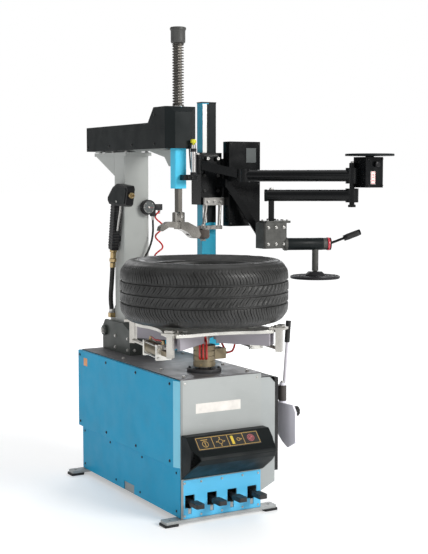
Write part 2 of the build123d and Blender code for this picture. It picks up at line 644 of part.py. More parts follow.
def lock_cylinder():
    """Bracket on the front of the guide tube and the locking cylinder that stands on it."""
    bracket = block(-6, 50, -202, SHAFT_Y - GUIDE_HALF_Y, *LOCK_BRACKET_Z)
    corners = bracket.edges().filter_by(Axis.Z).sort_by(Axis.Y)[:2]
    clamp = fillet(corners, 8)
    barrel = upright(LOCK_X, LOCK_Y, LOCK_R, LOCK_BRACKET_Z[1], 1530)
    barrel -= upright(LOCK_X, LOCK_Y, 5 + RUNNING, 1512, 1531)
    return clamp, barrel


def lock_button():
    stem = upright(LOCK_X, LOCK_Y, 5, 1518, 1538)
    knob = upright(LOCK_X, LOCK_Y, 12, 1537, 1553)
    return stem + fillet(knob.edges().group_by(Axis.Z)[-1], 5)


def tool_shaft():
    """Hexagonal shaft with a round cap above the return spring."""
    outline = RegularPolygon(HEX_FLATS / 2, 6, major_radius=False)
    shaft = Pos(0, SHAFT_Y, 1210) * extrude(outline, amount=SPRING_TOP_Z - 1205)
    cap = upright(0, SHAFT_Y, 34.5, SPRING_TOP_Z, MACHINE_TOP_Z)
    cap = chamfer(cap.edges().group_by(Axis.Z)[0], 5)
    cap = fillet(cap.edges().group_by(Axis.Z)[-1], 6)
    return shaft + cap


def return_spring():
    """Outer envelope of the compression spring between the nose and the cap."""
    y = SHAFT_Y
    return upright(0, y, 25, NOSE_TOP_Z, SPRING_TOP_Z) - upright(0, y, 20, NOSE_TOP_Z - 1, SPRING_TOP_Z + 1)


def mount_head():
    """Collar with a curved finger on the left and a duck-bill on the right."""
    y = SHAFT_Y
    collar = upright(0, y, 27, COLLAR_BOTTOM_Z, 1245)
    collar = chamfer(collar.edges().group_by(Axis.Z)[-1], 4)
    neck = upright(0, y, 20, 1172, COLLAR_BOTTOM_Z + 1)
    finger = prism_y([(0, 1204), (-58, 1204), (-92, 1184), (-98, 1166), (-84, 1164), (-54, 1180), (0, 1176)],
                     y - 16, y + 16)
    bill = prism_y([(0, 1204), (34, 1202), (84, 1178), (98, 1146), (88, 1132), (58, 1134), (30, 1160),
                    (0, 1172)], y - 24, y + 24)
    pocket = Pos(0, y, 1210) * extrude(RegularPolygon(HEX_FLATS / 2, 6, major_radius=False), amount=40)
    return collar + neck + finger + bill - pocket


# ---- assist arm ----
def assist_post():
    """Hollow foot beam bolted to the cabinet top and the tubular post at its end, with its facing strip."""
    beam = block(96, POST_X1 + 6, 236, 332, 594, 660)
    foot = block(96, 190, 226, 342, CABINET_TOP_Z, 600)
    post = block(POST_X0, POST_X1, POST_Y0, POST_Y1, 640, POST_TOP_Z)
    rail = block(POST_X0 + 2, POST_X0 + 36, POST_Y0 - 3, POST_Y0 + 1, 1180, POST_TOP_Z - 6)
    beam_hollow = block(95, POST_X1 + 1, 242, 326, 600, 655)
    post_hollow = block(POST_X0 + 5, POST_X1 - 5, POST_Y0 + 5, POST_Y1 - 5, 640, POST_TOP_Z - 5)
    return beam + foot + post + rail - beam_hollow - post_hollow


def carriage():
    """Sleeve round the post, hinge ears in front, roller bolts and a diagonal strut."""
    gap = 1.0
    sleeve = block(312, 424, 238, 330, CARRIAGE_Z0, CARRIAGE_Z1)
    sleeve -= block(POST_X0 - gap, POST_X1 + gap, POST_Y0 - 3 - gap, POST_Y1 + gap,
                    CARRIAGE_Z0 - 1, CARRIAGE_Z1 + 1)
    hx, hy = UPPER_HINGE
    ears = None
    for z in (1412, 1474):
        ear = upright(hx, hy, 24, z, z + 12) + prism_z([(hx - 22, hy + 8), (hx + 14, hy - 20), (336, 240),
                                                       (312, 262)], z, z + 12)
        ears = ear if ears is None else ears + ear
    pin = upright(hx, hy, 9, 1404, 1496)
    bolts = rod((340, 226, 1480), (340, 240, 1480), 12) + rod((396, 226, 1480), (396, 240, 1480), 12)
    strut = bar((410, 166, 1368), (562, 110, 1116), 22, 30) + block(396, 422, 154, 240, 1346, 1386)
    hanger = block(318, 424, 226, 240, CARRIAGE_Z0, 1300)
    return sleeve + ears + pin + bolts + strut + hanger


def carriage_cover():
    """Deep box to the right of the carriage, open at the back."""
    outer = block(430, 602, 180, 236, 1163, 1560)
    inner = block(434, 598, 184, 237, 1167, 1556)
    mounting = block(424, 434, 232, 262, 1300, 1480)
    return outer - inner + mounting


ROLLER_PIN = (300.0, 196.0)
ROLLER_Z0, ROLLER_Z1 = 1108.0, 1150.0


def roller_bracket():
    """Bright bracket under the carriage: back plate, two side rods and a fork for the roller."""
    x, y = ROLLER_PIN
    plate = block(318, 424, 214, 226, 1262, 1298)
    rods = rod((330, 220, 1263), (312, 214, 1160), 8) + rod((404, 220, 1263), (396, 214, 1160), 8)
    cross = block(286, 408, 204, 226, 1150, 1168)
    fork = upright(x, y, 20, 1156, 1168) + block(280, 320, y, 214, 1156, 1168)
    pin = upright(x, y, 7, ROLLER_Z0 - 8, 1160) + upright(x, y, 13, ROLLER_Z0 - 10, ROLLER_Z0 - 2)
    return plate + rods + cross + fork + pin


def bead_roller():
    x, y = ROLLER_PIN
    cone = upright(x, y, 30, ROLLER_Z0, ROLLER_Z1)
    cone = chamfer(cone.edges().group_by(Axis.Z)[0], 8)
    return cone - upright(x, y, 7 + RUNNING, ROLLER_Z0 - 1, ROLLER_Z1 + 1)


LINK_Z = 1400.0
LOWER_LINK_Z = 1310.0
LINK_R = 27.0


def upper_link():
    """Hinge barrel, sloping arm, elbow tube and end box; the tool tray is a second solid."""
    hx, hy = UPPER_HINGE
    barrel = upright(hx, hy, 20, 1424.5, 1473.5)
    slope = bar((hx + 12, hy - 5, 1449), (*ELBOW, LINK_Z + 4), 22, 40)
    elbow = upright(*ELBOW, LINK_R + 5, LINK_Z - 29, LINK_Z + 31)
    tube = rod((*ELBOW, LINK_Z), (*LOWER_HINGE, LINK_Z), LINK_R)
    end = block(875, 973, -286, -186, 1346, 1485)
    end = round_upright(end, 6)
    hinge_block = upright(*LOWER_HINGE, 30, 1364, 1436)
    pin = upright(*LOWER_HINGE, 12, 1262, 1366) + upright(*LOWER_HINGE, 18, 1256, 1268)
    knobs = upright(*LOWER_HINGE, 14, 1436, 1458) + rod((930, -288, 1452), (930, -284, 1452), 8)
    shape = barrel + slope + elbow + tube + end + hinge_block + pin + knobs
    return shape - upright(hx, hy, 9 + RUNNING, 1420, 1480)


def tool_tray():
    tray = upright(930, -238, 112, 1490, 1500) - upright(930, -238, 104, 1494, 1501)
    return tray + upright(930, -238, 20, 1485, 1491)


def lower_link():
    barrel = upright(*LOWER_HINGE, 30, LOWER_LINK_Z - 32, LOWER_LINK_Z + 32)
    dx, dy = (SWIVEL[0] - LOWER_HINGE[0], SWIVEL[1] - LOWER_HINGE[1])
    reach = 1 + 30 / math.hypot(dx, dy)
    end = (LOWER_HINGE[0] + dx * reach, LOWER_HINGE[1] + dy * reach, LOWER_LINK_Z)
    tube = rod((*LOWER_HINGE, LOWER_LINK_Z), end, LINK_R)
    swivel_rod = upright(*SWIVEL, 13.5, 1120, LOWER_LINK_Z)
    head = upright(*SWIVEL, 22, 1196, 1204)
    shape = barrel + tube + swivel_rod + head
    return shape - upright(*LOWER_HINGE, 12 + RUNNING, LOWER_LINK_Z - 40, LOWER_LINK_Z + 40)


PRESS_TUBE_Z = 1086.0


def press_block():
    """Cast head on the swivel rod with a T-plate on top and the press tube at its side."""
    x, y = SWIVEL
    cast = block(x - 62, x + 62, y - 42, y + 42, 1068, 1184)
    cast = fillet(cast.edges().filter_by(Axis.Z), 10)
    cast += block(x - 48, x + 84, y - 34, y + 34, 1183, 1194)
    tube = rod((x + 52, y - 20.8, PRESS_TUBE_Z), (*PRESS_TUBE_END, PRESS_TUBE_Z), LINK_R + 1)
    disc_rod = upright(*PRESS_DISC, 15, 962, PRESS_TUBE_Z)
    shape = cast + tube + disc_rod
    shape += upright(*PRESS_DISC, 9, 934, 964)
    return shape - upright(x, y, 13.5 + RUNNING, 1110, 1200)


def press_lever():
    """Lever on the end of the press tube: collar ring, thin rod and thick grip."""
    dx, dy = PRESS_TUBE_END[0] - SWIVEL[0], PRESS_TUBE_END[1] - SWIVEL[1]
    length = math.hypot(dx, dy)
    ux, uy = dx / length, dy / length
    x, y = PRESS_TUBE_END

    def ahead(distance, z):
        return (x + ux * distance, y + uy * distance, z)

    ring = rod(ahead(1, PRESS_TUBE_Z), ahead(19, PRESS_TUBE_Z), 30)
    stem = rod(ahead(12, PRESS_TUBE_Z), ahead(84, PRESS_TUBE_Z + 26), 6)
    grip = rod(ahead(82, PRESS_TUBE_Z + 25), ahead(160, PRESS_TUBE_Z + 54), 14)
    return ring + stem + grip


def press_disc():
    disc = upright(*PRESS_DISC, 115, 926, 938)
    disc = fillet(disc.edges().group_by(Axis.Z)[0], 5)
    dome = upright(*PRESS_DISC, 46, 937, 958)
    dome = chamfer(dome.edges().group_by(Axis.Z)[-1], 14)
    return disc + dome - upright(*PRESS_DISC, 9 + RUNNING, 933, 960)


# ---- output ----
save("foot_bars", *foot_bars())
save("foot_pads", *foot_pads())
save("cabinet_frame", cabinet_frame())
save("top_plate", top_plate())
save("side_cover", side_cover())
save("front_panel", front_panel())
save("pedal_plate", pedal_plate())
save("pedal_hood", pedal_hood())
save("pedal_shaft", pedal_shaft())
for pedal_name, pedal_x in PEDAL_XS.items():
    save(pedal_name, pedal(pedal_x))
save("gearbox", gearbox())
save("drive_motor", drive_motor())
save("gearbox_pulley", pulley(GEARBOX_PULLEY, GEARBOX_PULLEY_R, -52, 9))
save("motor_pulley", pulley(MOTOR_PULLEY, MOTOR_PULLEY_R, -32, 7))
save("drive_belt", drive_belt())
save("breaker_cylinder", breaker_cylinder())
save("breaker_rod", breaker_rod())
save("tilt_cylinder", tilt_cylinder())
save("air_inlet", air_inlet())
save("wheel_pad_bracket", wheel_pad_bracket())
save("wheel_pad", wheel_pad())
save("breaker_arm", *breaker_arm())
save("breaker_blade", breaker_blade())
save("turntable_plate", turntable_plate())
save("turntable_shaft", turntable_shaft())
save("slide_guides", *slide_guides())
save("rotary_coupling", rotary_coupling())
save("clamp_jaw_1", clamp_jaw(JAW_ANGLES[0]), clamp_barrel(0, 1))
save("clamp_jaw_2", clamp_jaw(JAW_ANGLES[1]) + clamp_rod(1, 0))
save("clamp_jaw_3", clamp_jaw(JAW_ANGLES[2]), clamp_barrel(2, 3))
save("clamp_jaw_4", clamp_jaw(JAW_ANGLES[3]) + clamp_rod(3, 2))
save("loaded_tyre", loaded_tyre())
save("column_base", *column_base())
save("column_tube", column_tube())
save("pressure_gauge", pressure_gauge())
save("column_unions", *unions().solids())
save("column_hoses", hose("gun hose", GUN_ROUTE, 11), hose("gauge hose", GAUGE_ROUTE, 5))
save("coil_hose", hose("coil hose", COIL_ROUTE, 22))
save("inflator_gun", inflator_gun())
save("arm_beam", arm_beam())
save("arm_cover", arm_cover())
save("guide_tube", guide_tube())
save("lock_cylinder", *lock_cylinder())
save("lock_button", lock_button())
save("tool_shaft", tool_shaft())
save("return_spring", return_spring())
save("mount_head", mount_head())
save("assist_post", assist_post())
save("carriage", carriage())
save("carriage_cover", carriage_cover())
save("roller_bracket", roller_bracket())
save("bead_roller", bead_roller())
save("upper_link", upper_link(), tool_tray())
save("lower_link", lower_link())
save("press_block", press_block())
save("press_lever", press_lever())
save("press_disc", press_disc())
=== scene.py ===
"""Tyre changer: finishes, detailed meshes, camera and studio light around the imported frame.

Detail meshes are drawn in millimetres in the row frame and scaled to metres when they are finished.
"""
import itertools
import json
import math

import bmesh
import bpy
from mathutils import Matrix, Vector


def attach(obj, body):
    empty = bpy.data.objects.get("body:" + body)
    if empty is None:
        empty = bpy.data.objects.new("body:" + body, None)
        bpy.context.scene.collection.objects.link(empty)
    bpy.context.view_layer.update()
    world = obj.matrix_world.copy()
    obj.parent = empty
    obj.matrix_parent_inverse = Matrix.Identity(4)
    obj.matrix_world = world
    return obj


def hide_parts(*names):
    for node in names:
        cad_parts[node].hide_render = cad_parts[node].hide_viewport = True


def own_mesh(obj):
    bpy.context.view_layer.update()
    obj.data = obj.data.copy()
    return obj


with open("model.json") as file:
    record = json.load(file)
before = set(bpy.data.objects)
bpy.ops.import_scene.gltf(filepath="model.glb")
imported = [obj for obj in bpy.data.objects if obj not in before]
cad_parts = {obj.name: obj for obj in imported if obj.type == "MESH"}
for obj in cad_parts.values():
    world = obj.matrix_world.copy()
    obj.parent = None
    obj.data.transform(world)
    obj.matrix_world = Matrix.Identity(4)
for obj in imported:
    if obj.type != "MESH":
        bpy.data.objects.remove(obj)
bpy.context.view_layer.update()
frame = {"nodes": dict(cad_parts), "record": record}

scene = bpy.context.scene

X_AXIS, Y_AXIS, Z_AXIS = Vector((1, 0, 0)), Vector((0, 1, 0)), Vector((0, 0, 1))
METRES = 0.001
TABLE_Y, SHAFT_Y = -343.0, -120.0


# ---------------------------------------------------------------- materials
class Shader:
    """A Principled material under construction; its coordinates are metres in the row frame."""

    def __init__(self, name, colour, roughness, metallic=0.0, coat=0.0, specular=0.5):
        self.material = bpy.data.materials.new(name)
        self.material.use_nodes = True
        self.tree = self.material.node_tree
        self.bsdf = self.tree.nodes["Principled BSDF"]
        settings = {"Base Color": (*colour, 1.0), "Roughness": roughness, "Metallic": metallic,
                    "Coat Weight": coat, "Coat Roughness": 0.15, "Specular IOR Level": specular}
        for socket, value in settings.items():
            self.bsdf.inputs[socket].default_value = value
        self.place = self.tree.nodes.new("ShaderNodeTexCoord").outputs["Object"]
        self.bumps = None

    def node(self, kind, **inputs):
        made = self.tree.nodes.new(kind)
        for key, value in inputs.items():
            made.inputs[key].default_value = value
        return made

    def join(self, source, target):
        self.tree.links.new(source, target)

    def noise(self, scale, detail=4.0, stretch=None):
        """Noise, stretched along the axes for brushed and drawn surfaces."""
        made, place = self.node("ShaderNodeTexNoise", Scale=scale, Detail=detail), self.place
        if stretch:
            mapping = self.node("ShaderNodeMapping", Scale=stretch)
            self.join(place, mapping.inputs["Vector"])
            place = mapping.outputs["Vector"]
        self.join(place, made.inputs["Vector"])
        return made.outputs["Fac"]

    def cells(self, scale):
        made = self.node("ShaderNodeTexVoronoi", Scale=scale)
        self.join(self.place, made.inputs["Vector"])
        return made.outputs["Distance"]

    def ranged(self, value, low, high, start=0.3, stop=0.7):
        made = self.tree.nodes.new("ShaderNodeMapRange")
        for key, number in zip(("From Min", "From Max", "To Min", "To Max"), (start, stop, low, high)):
            made.inputs[key].default_value = number
        self.join(value, made.inputs["Value"])
        return made.outputs["Result"]

    def mixed(self, factor, first, second):
        made = self.tree.nodes.new("ShaderNodeMix")
        made.data_type = "RGBA"
        self.join(factor, made.inputs["Factor"])
        for slot_name, value in (("A", first), ("B", second)):
            sockets = [s for s in made.inputs if s.name == slot_name and s.type == "RGBA"]
            if isinstance(value, bpy.types.NodeSocket):
                self.join(value, sockets[0])
            else:
                sockets[0].default_value = (*value[:3], 1.0)
        return [s for s in made.outputs if s.type == "RGBA"][0]

    def paint(self, socket):
        self.join(socket, self.bsdf.inputs["Base Color"])

    def vary_roughness(self, value, low, high):
        self.join(self.ranged(value, low, high), self.bsdf.inputs["Roughness"])

    def raise_surface(self, height, strength, distance):
        made = self.node("ShaderNodeBump", Strength=strength, Distance=distance)
        self.join(height, made.inputs["Height"])
        if self.bumps:
            self.join(self.bumps, made.inputs["Normal"])
        self.bumps = made.outputs["Normal"]
        self.join(self.bumps, self.bsdf.inputs["Normal"])


def shade(colour, factor):
    """The colour made lighter or darker."""
    return tuple(min(1.0, c * factor) for c in colour[:3])


def painted(name, colour, roughness=0.34, coat=0.05, dirt=0.82, specular=0.28):
    """Sprayed enamel: faint orange peel, slow colour drift, dusty patches and fine scuffs."""
    s = Shader(name, colour, roughness, coat=coat, specular=specular)
    drift = s.ranged(s.noise(2.2, 3), 0.0, 1.0)
    base = s.mixed(drift, shade(colour, 1.05), shade(colour, 0.93))
    dust = s.ranged(s.noise(9.0, 8), 0.0, 0.22, 0.52, 0.8)
    base = s.mixed(dust, base, tuple(c * dirt * 0.7 + 0.035 * dirt for c in colour))
    scuffs = s.ranged(s.noise(28.0, 2, (1.0, 1.0, 9.0)), 0.0, 0.14, 0.66, 0.74)
    s.paint(s.mixed(scuffs, base, shade(colour, 1.4)))
    s.vary_roughness(s.noise(14.0, 6), roughness - 0.06, roughness + 0.12)
    s.raise_surface(s.noise(420.0, 2), 0.08, 0.0006)
    return s.material


def moulded(name, colour, roughness=0.42, specular=0.16):
    """Grained plastic moulding with a soft sheen and rubbed patches."""
    s = Shader(name, colour, roughness, specular=specular)
    base = s.mixed(s.ranged(s.noise(5.0, 5), 0.0, 1.0), shade(colour, 1.25), shade(colour, 0.85))
    s.paint(base)
    s.vary_roughness(s.noise(11.0, 5), roughness - 0.08, roughness + 0.14)
    s.raise_surface(s.cells(900.0), 0.16, 0.0004)
    s.raise_surface(s.noise(60.0, 3), 0.05, 0.001)
    return s.material


def machined(name, colour, roughness, stretch, stain=0.75):
    """Bare or plated steel: directional tool marks, patchy stains, uneven gloss."""
    s = Shader(name, colour, roughness, metallic=1.0)
    marks = s.noise(160.0, 4, stretch)
    base = s.mixed(s.ranged(s.noise(12.0, 6), 0.0, 1.0, 0.38, 0.68), colour, shade(colour, stain))
    s.paint(s.mixed(s.ranged(marks, 0.0, 0.35), base, shade(colour, 1.18)))
    s.vary_roughness(marks, roughness - 0.07, roughness + 0.12)
    s.raise_surface(marks, 0.04, 0.0002)
    return s.material


def casting(name, colour, roughness=0.55, metallic=0.0):
    """Sand-cast surface: pitted skin under thin paint."""
    s = Shader(name, colour, roughness, metallic=metallic)
    base = s.mixed(s.ranged(s.noise(35.0, 6), 0.0, 1.0), shade(colour, 1.3), shade(colour, 0.7))
    s.paint(base)
    s.vary_roughness(s.noise(50.0, 4), roughness - 0.1, roughness + 0.15)
    s.raise_surface(s.noise(190.0, 5), 0.35, 0.001)
    s.raise_surface(s.cells(320.0), 0.15, 0.0008)
    return s.material


def rubber(name, colour, roughness=0.72, dust=0.06, specular=0.3):
    """Matt rubber with grey bloom and a fine skin."""
    s = Shader(name, colour, roughness, specular=specular)
    bloom = s.ranged(s.noise(16.0, 7), 0.0, 0.8, 0.42, 0.75)
    s.paint(s.mixed(bloom, colour, tuple(c + dust for c in colour)))
    s.vary_roughness(s.noise(40.0, 4), roughness - 0.1, roughness + 0.12)
    s.raise_surface(s.noise(500.0, 3), 0.15, 0.0005)
    return s.material


def glossy(name, colour, roughness=0.2):
    """Smooth lacquer, plastic film or hose skin."""
    s = Shader(name, colour, roughness, coat=0.4)
    s.paint(s.mixed(s.ranged(s.noise(30.0, 3), 0.0, 1.0), shade(colour, 1.08), shade(colour, 0.9)))
    s.raise_surface(s.noise(220.0, 2), 0.04, 0.0004)
    return s.material


UPRIGHT_GRAIN, ROUND_GRAIN = (1.0, 1.0, 0.04), (1.0, 1.0, 6.0)
FINISHES = {name: make(name, *settings) for name, (make, *settings) in {
    "steel_dark": (painted, (0.36, 0.375, 0.375), 0.36),
    "pad_rubber": (rubber, (0.014, 0.014, 0.015), 0.6, 0.02),
    "cabinet_grey": (painted, (0.27, 0.29, 0.29)),
    "cabinet_top_grey": (painted, (0.105, 0.103, 0.108), 0.4),
    "cover_blue": (painted, (0.010, 0.315, 0.54), 0.4, 0.03, 0.82, 0.12),
    "panel_grey": (painted, (0.39, 0.41, 0.405), 0.34),
    "plate_blue": (painted, (0.10, 0.50, 0.80), 0.38, 0.05),
    "moulding_black": (moulded, (0.005, 0.0075, 0.008), 0.46),
    "cast_black": (casting, (0.035, 0.035, 0.038)),
    "belt_rubber": (rubber, (0.02, 0.02, 0.02)),
    "cylinder_grey": (painted, (0.22, 0.23, 0.24)),
    "plain_steel": (machined, (0.36, 0.35, 0.335), 0.3, ROUND_GRAIN),
    "fitting_brass": (machined, (0.50, 0.37, 0.19), 0.3, ROUND_GRAIN, 0.65),
    "bracket_grey": (painted, (0.38, 0.405, 0.405)),
    "base_grey": (painted, (0.06, 0.068, 0.062), 0.42, 0.05),
    "post_blue": (painted, (0.02, 0.31, 0.46), 0.36, 0.06, 0.82, 0.25),
    "pedal_black": (casting, (0.012, 0.012, 0.013), 0.45),
    "pulley_iron": (machined, (0.20, 0.20, 0.20), 0.4, ROUND_GRAIN),
    "zinc_plate": (machined, (0.66, 0.65, 0.61), 0.32, (1.0, 8.0, 1.0)),
    "guide_lilac": (painted, (0.33, 0.31, 0.345), 0.42),
    "coupling_zinc": (machined, (0.27, 0.225, 0.15), 0.38, ROUND_GRAIN, 0.5),
    "jaw_steel": (machined, (0.55, 0.53, 0.49), 0.3, (8.0, 1.0, 1.0), 0.7),
    "tyre_rubber": (rubber, (0.011, 0.0112, 0.0105), 0.44, 0.016, 0.5),
    "column_grey": (painted, (0.40, 0.415, 0.40), 0.38, 0.05),
    "gauge_black": (moulded, (0.015, 0.015, 0.016), 0.38),
    "hose_black": (rubber, (0.012, 0.012, 0.012), 0.5, 0.02),
    "hose_red": (glossy, (0.55, 0.015, 0.012), 0.3),
    "beam_grey": (painted, (0.33, 0.35, 0.34), 0.38),
    "lock_steel": (machined, (0.52, 0.51, 0.50), 0.25, UPRIGHT_GRAIN),
    "button_yellow": (glossy, (0.60, 0.58, 0.02)),
    "spring_steel": (machined, (0.115, 0.108, 0.098), 0.38, ROUND_GRAIN),
    "tool_chrome": (machined, (0.30, 0.285, 0.26), 0.16, (1.0, 6.0, 1.0), 0.5),
    "arm_dark": (painted, (0.07, 0.062, 0.058), 0.4),
    "blade_grey": (painted, (0.86, 0.85, 0.93), 0.36),
    "assist_black": (painted, (0.003, 0.0035, 0.004), 0.2, 0.0, 0.3, 0.22),
    "bright_steel": (machined, (0.27, 0.262, 0.25), 0.34, (1.0, 1.0, 0.3), 0.5),
    "roller_plastic": (moulded, (0.075, 0.062, 0.055), 0.4),
    "block_cast": (casting, (0.06, 0.06, 0.055), 0.5, 0.2),
    "disc_black": (moulded, (0.018, 0.018, 0.02), 0.4),
    "zinc_bolt": (machined, (0.55, 0.54, 0.52), 0.3, ROUND_GRAIN),
    "black_bolt": (casting, (0.02, 0.02, 0.02), 0.4, 0.6),
    "label_gold": (glossy, (0.55, 0.36, 0.10), 0.35),
    "label_black": (glossy, (0.012, 0.012, 0.012), 0.4),
    "label_white": (glossy, (0.75, 0.72, 0.68), 0.45),
    "label_pink": (glossy, (0.62, 0.16, 0.18), 0.45),
    "label_yellow": (glossy, (0.70, 0.52, 0.05), 0.4),
    "label_orange": (glossy, (0.65, 0.22, 0.02), 0.4),
    "label_grey": (glossy, (0.055, 0.065, 0.065), 0.35),
    "ring_red": (glossy, (0.50, 0.03, 0.05), 0.3),
    "grip_black": (rubber, (0.014, 0.014, 0.014), 0.5, 0.02),
    # Matt near-white that stands for the polished rail's reflection of the bright studio: a painted reflection.
    "rail_bright": (painted, (0.88, 0.88, 0.86), 0.3, 0.1),
    "tube_blue": (painted, (0.07, 0.55, 0.80), 0.34, 0.06, 0.82, 0.2),
    # A lighter copy of the cover blue: a painted highlight for the side cover's bevelled edge.
    "bevel_blue": (painted, (0.24, 0.62, 0.80), 0.36, 0.05, 0.82, 0.2),
    "cap_grey": (moulded, (0.045, 0.045, 0.043), 0.36, 0.4),
    "handle_steel": (painted, (0.56, 0.54, 0.59), 0.3, 0.1),
}.items()}


# ---------------------------------------------------------------- pieces
NODE_SLOT = {entry["node"]: entry["material_slot"] for entry in frame["record"]["subparts"]}
NODE_BODY = {node: body for body, members in frame["record"]["behaviour"]["bodies"].items()
             for node in members}


def show(name, mesh, body, finish, node=None):
    """Links a finished mesh as a piece that rides on a body; it stands for a CAD node if one is given."""
    piece = bpy.data.objects.new(name, mesh)
    scene.collection.objects.link(piece)
    mesh.materials.clear()
    mesh.materials.append(FINISHES[finish])
    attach(piece, body)
    if node:
        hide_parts(node)
    return piece


def mesh_of(bm, name, sharp=38.0, scale=METRES):
    """Ends a bmesh as a smooth mesh with hard edges above an angle in degrees."""
    bmesh.ops.remove_doubles(bm, verts=bm.verts, dist=1e-4 if scale == METRES else 1e-6)
    bmesh.ops.scale(bm, vec=(scale, scale, scale), verts=bm.verts)
    bmesh.ops.recalc_face_normals(bm, faces=bm.faces)
    mesh = bpy.data.meshes.new(name)
    bm.to_mesh(mesh)
    bm.free()
    mesh.polygons.foreach_set("use_smooth", [True] * len(mesh.polygons))
    mesh.set_sharp_from_angle(angle=math.radians(sharp))
    return mesh


def soften(piece, width, segments=2):
    """Rounds the piece's hard edges; width in millimetres."""
    bevel = piece.modifiers.new("edges", "BEVEL")
    bevel.width = width * METRES
    bevel.segments = segments
    bevel.limit_method = "ANGLE"
    bevel.angle_limit = math.radians(32)
    bevel.harden_normals = True
    bevel.use_clamp_overlap = True
    return piece


def piece_of(build, name, body, finish, node=None, edges=0.0, sharp=38.0):
    """Runs a function that fills a bmesh, and shows the result."""
    bm = bmesh.new()
    build(bm)
    piece = show(name, mesh_of(bm, name, sharp), body, finish, node)
    return soften(piece, edges) if edges else piece


def shells(bm):
    """The groups of connected vertices."""
    seen = set()
    for first in list(bm.verts):
        if first in seen:
            continue
        shell, queue = [], [first]
        seen.add(first)
        while queue:
            here = queue.pop()
            shell.append(here)
            for edge in here.link_edges:
                other = edge.other_vert(here)
                if other not in seen:
                    seen.add(other)
                    queue.append(other)
        yield shell


def refine(node, edges, keep_shell=None, drop=None, name=None, finish=None, stands=True):
    """The CAD piece with softened edges and its finish.

    keep_shell picks solids by their mean point, drop removes vertices by place; both in millimetres.
    """
    bm = bmesh.new()
    bm.from_mesh(frame["nodes"][node].data)
    bmesh.ops.remove_doubles(bm, verts=bm.verts, dist=2e-6)
    if keep_shell:
        for shell in list(shells(bm)):
            middle = sum((v.co for v in shell), Vector()) / len(shell) / METRES
            if not keep_shell(middle):
                bmesh.ops.delete(bm, geom=shell, context="VERTS")
    if drop:
        unwanted = [v for v in bm.verts if drop(v.co / METRES)]
        bmesh.ops.delete(bm, geom=unwanted, context="VERTS")
    bmesh.ops.dissolve_limit(bm, angle_limit=math.radians(0.6), verts=bm.verts, edges=bm.edges)
    name = name or node + "_finish"
    piece = show(name, mesh_of(bm, name, 30, 1.0), NODE_BODY[node], finish or NODE_SLOT[node],
                 node if stands else None)
    return soften(piece, edges, 3 if edges > 3 else 2)


# ---------------------------------------------------------------- places and solids
def level(degrees):
    """The level direction at an angle from the X axis."""
    a = math.radians(degrees)
    return Vector((math.cos(a), math.sin(a), 0))


def placed(origin, x_way, y_way, z_way):
    """A matrix that puts a local frame with those directions at a point."""
    place = Matrix((x_way, y_way, z_way)).transposed().to_4x4()
    place.translation = origin
    return place


def upright(origin, out):
    """A local frame with Z up and X along a level direction."""
    return placed(origin, out, Z_AXIS.cross(out), Z_AXIS)


def grid(*spans):
    """Every point of a grid; each span is one number or several."""
    return list(itertools.product(*(s if isinstance(s, tuple) else (s,) for s in spans)))


def basis(axis):
    """Two unit vectors across an axis."""
    axis = axis.normalized()
    side = axis.cross(Z_AXIS if abs(axis.z) < 0.9 else X_AXIS).normalized()
    return side, axis.cross(side)


def bridge(bm, rings):
    """Quads between closed rings of equally many points."""
    for low, high in zip(rings, rings[1:]):
        for i in range(len(low)):
            j = (i + 1) % len(low)
            bm.faces.new((low[i], low[j], high[j], high[i]))


def add_lathe(bm, origin, axis, profile, segments=40, start=0.0):
    """Turns (radius, height) points about an axis; a point at radius 0 closes the end."""
    origin, axis = Vector(origin), Vector(axis).normalized()
    side, up = basis(axis)
    rings = []
    for radius, height in profile:
        centre = origin + axis * height
        if radius < 1e-6:
            rings.append([bm.verts.new(centre)])
            continue
        ring = []
        for i in range(segments):
            a = start + 2 * math.pi * i / segments
            ring.append(bm.verts.new(centre + side * radius * math.cos(a) + up * radius * math.sin(a)))
        rings.append(ring)
    for low, high in zip(rings, rings[1:]):
        for i in range(segments):
            j = (i + 1) % segments
            corners = [low[i % len(low)], low[j % len(low)], high[j % len(high)], high[i % len(high)]]
            distinct = list(dict.fromkeys(corners))
            if len(distinct) > 2:
                bm.faces.new(distinct)


def add_rod(bm, start, end, radius, segments=24, edge=0.8):
    """A round bar with small chamfers at both ends."""
    start, end = Vector(start), Vector(end)
    length = (end - start).length
    profile = [(0, 0), (radius - edge, 0), (radius, edge), (radius, length - edge), (radius - edge, length),
               (0, length)]
    add_lathe(bm, start, end - start, profile, segments)


def add_ring(bm, origin, axis, inner, outer, height, segments=48):
    """A flat ring with a rectangular section."""
    edge = min(0.5, height / 4)
    add_lathe(bm, origin, axis, [(inner, 0), (outer - edge, 0), (outer, edge), (outer, height - edge),
                                 (outer - edge, height), (inner, height), (inner, 0)], segments)


def add_box(bm, low, high, place=None):
    """A box between two corners, moved by a matrix if one is given."""
    corners = [Vector((x, y, z)) for x in (low[0], high[0]) for y in (low[1], high[1])
               for z in (low[2], high[2])]
    verts = [bm.verts.new(place @ c if place else c) for c in corners]
    for face in ((0, 1, 3, 2), (4, 6, 7, 5), (0, 4, 5, 1), (2, 3, 7, 6), (0, 2, 6, 4), (1, 5, 7, 3)):
        bm.faces.new([verts[i] for i in face])


def add_prism(bm, outline, depth, place):
    """A flat outline in the local X-Y plane, run along local Z."""
    low = [bm.verts.new(place @ Vector((x, y, 0))) for x, y in outline]
    high = [bm.verts.new(place @ Vector((x, y, depth))) for x, y in outline]
    bm.faces.new(low[::-1])
    bm.faces.new(high)
    bridge(bm, [low, high])


def add_tube(bm, points, radius, segments=12):
    """A round tube along many close points, capped at both ends."""
    rings = [[bm.verts.new(point + (side * math.cos(a) + up * math.sin(a)) * radius)
              for a in (2 * math.pi * k / segments for k in range(segments))]
             for point, side, up in frames_along([Vector(p) for p in points])]
    bridge(bm, rings)
    bm.faces.new(rings[0][::-1])
    bm.faces.new(rings[-1])


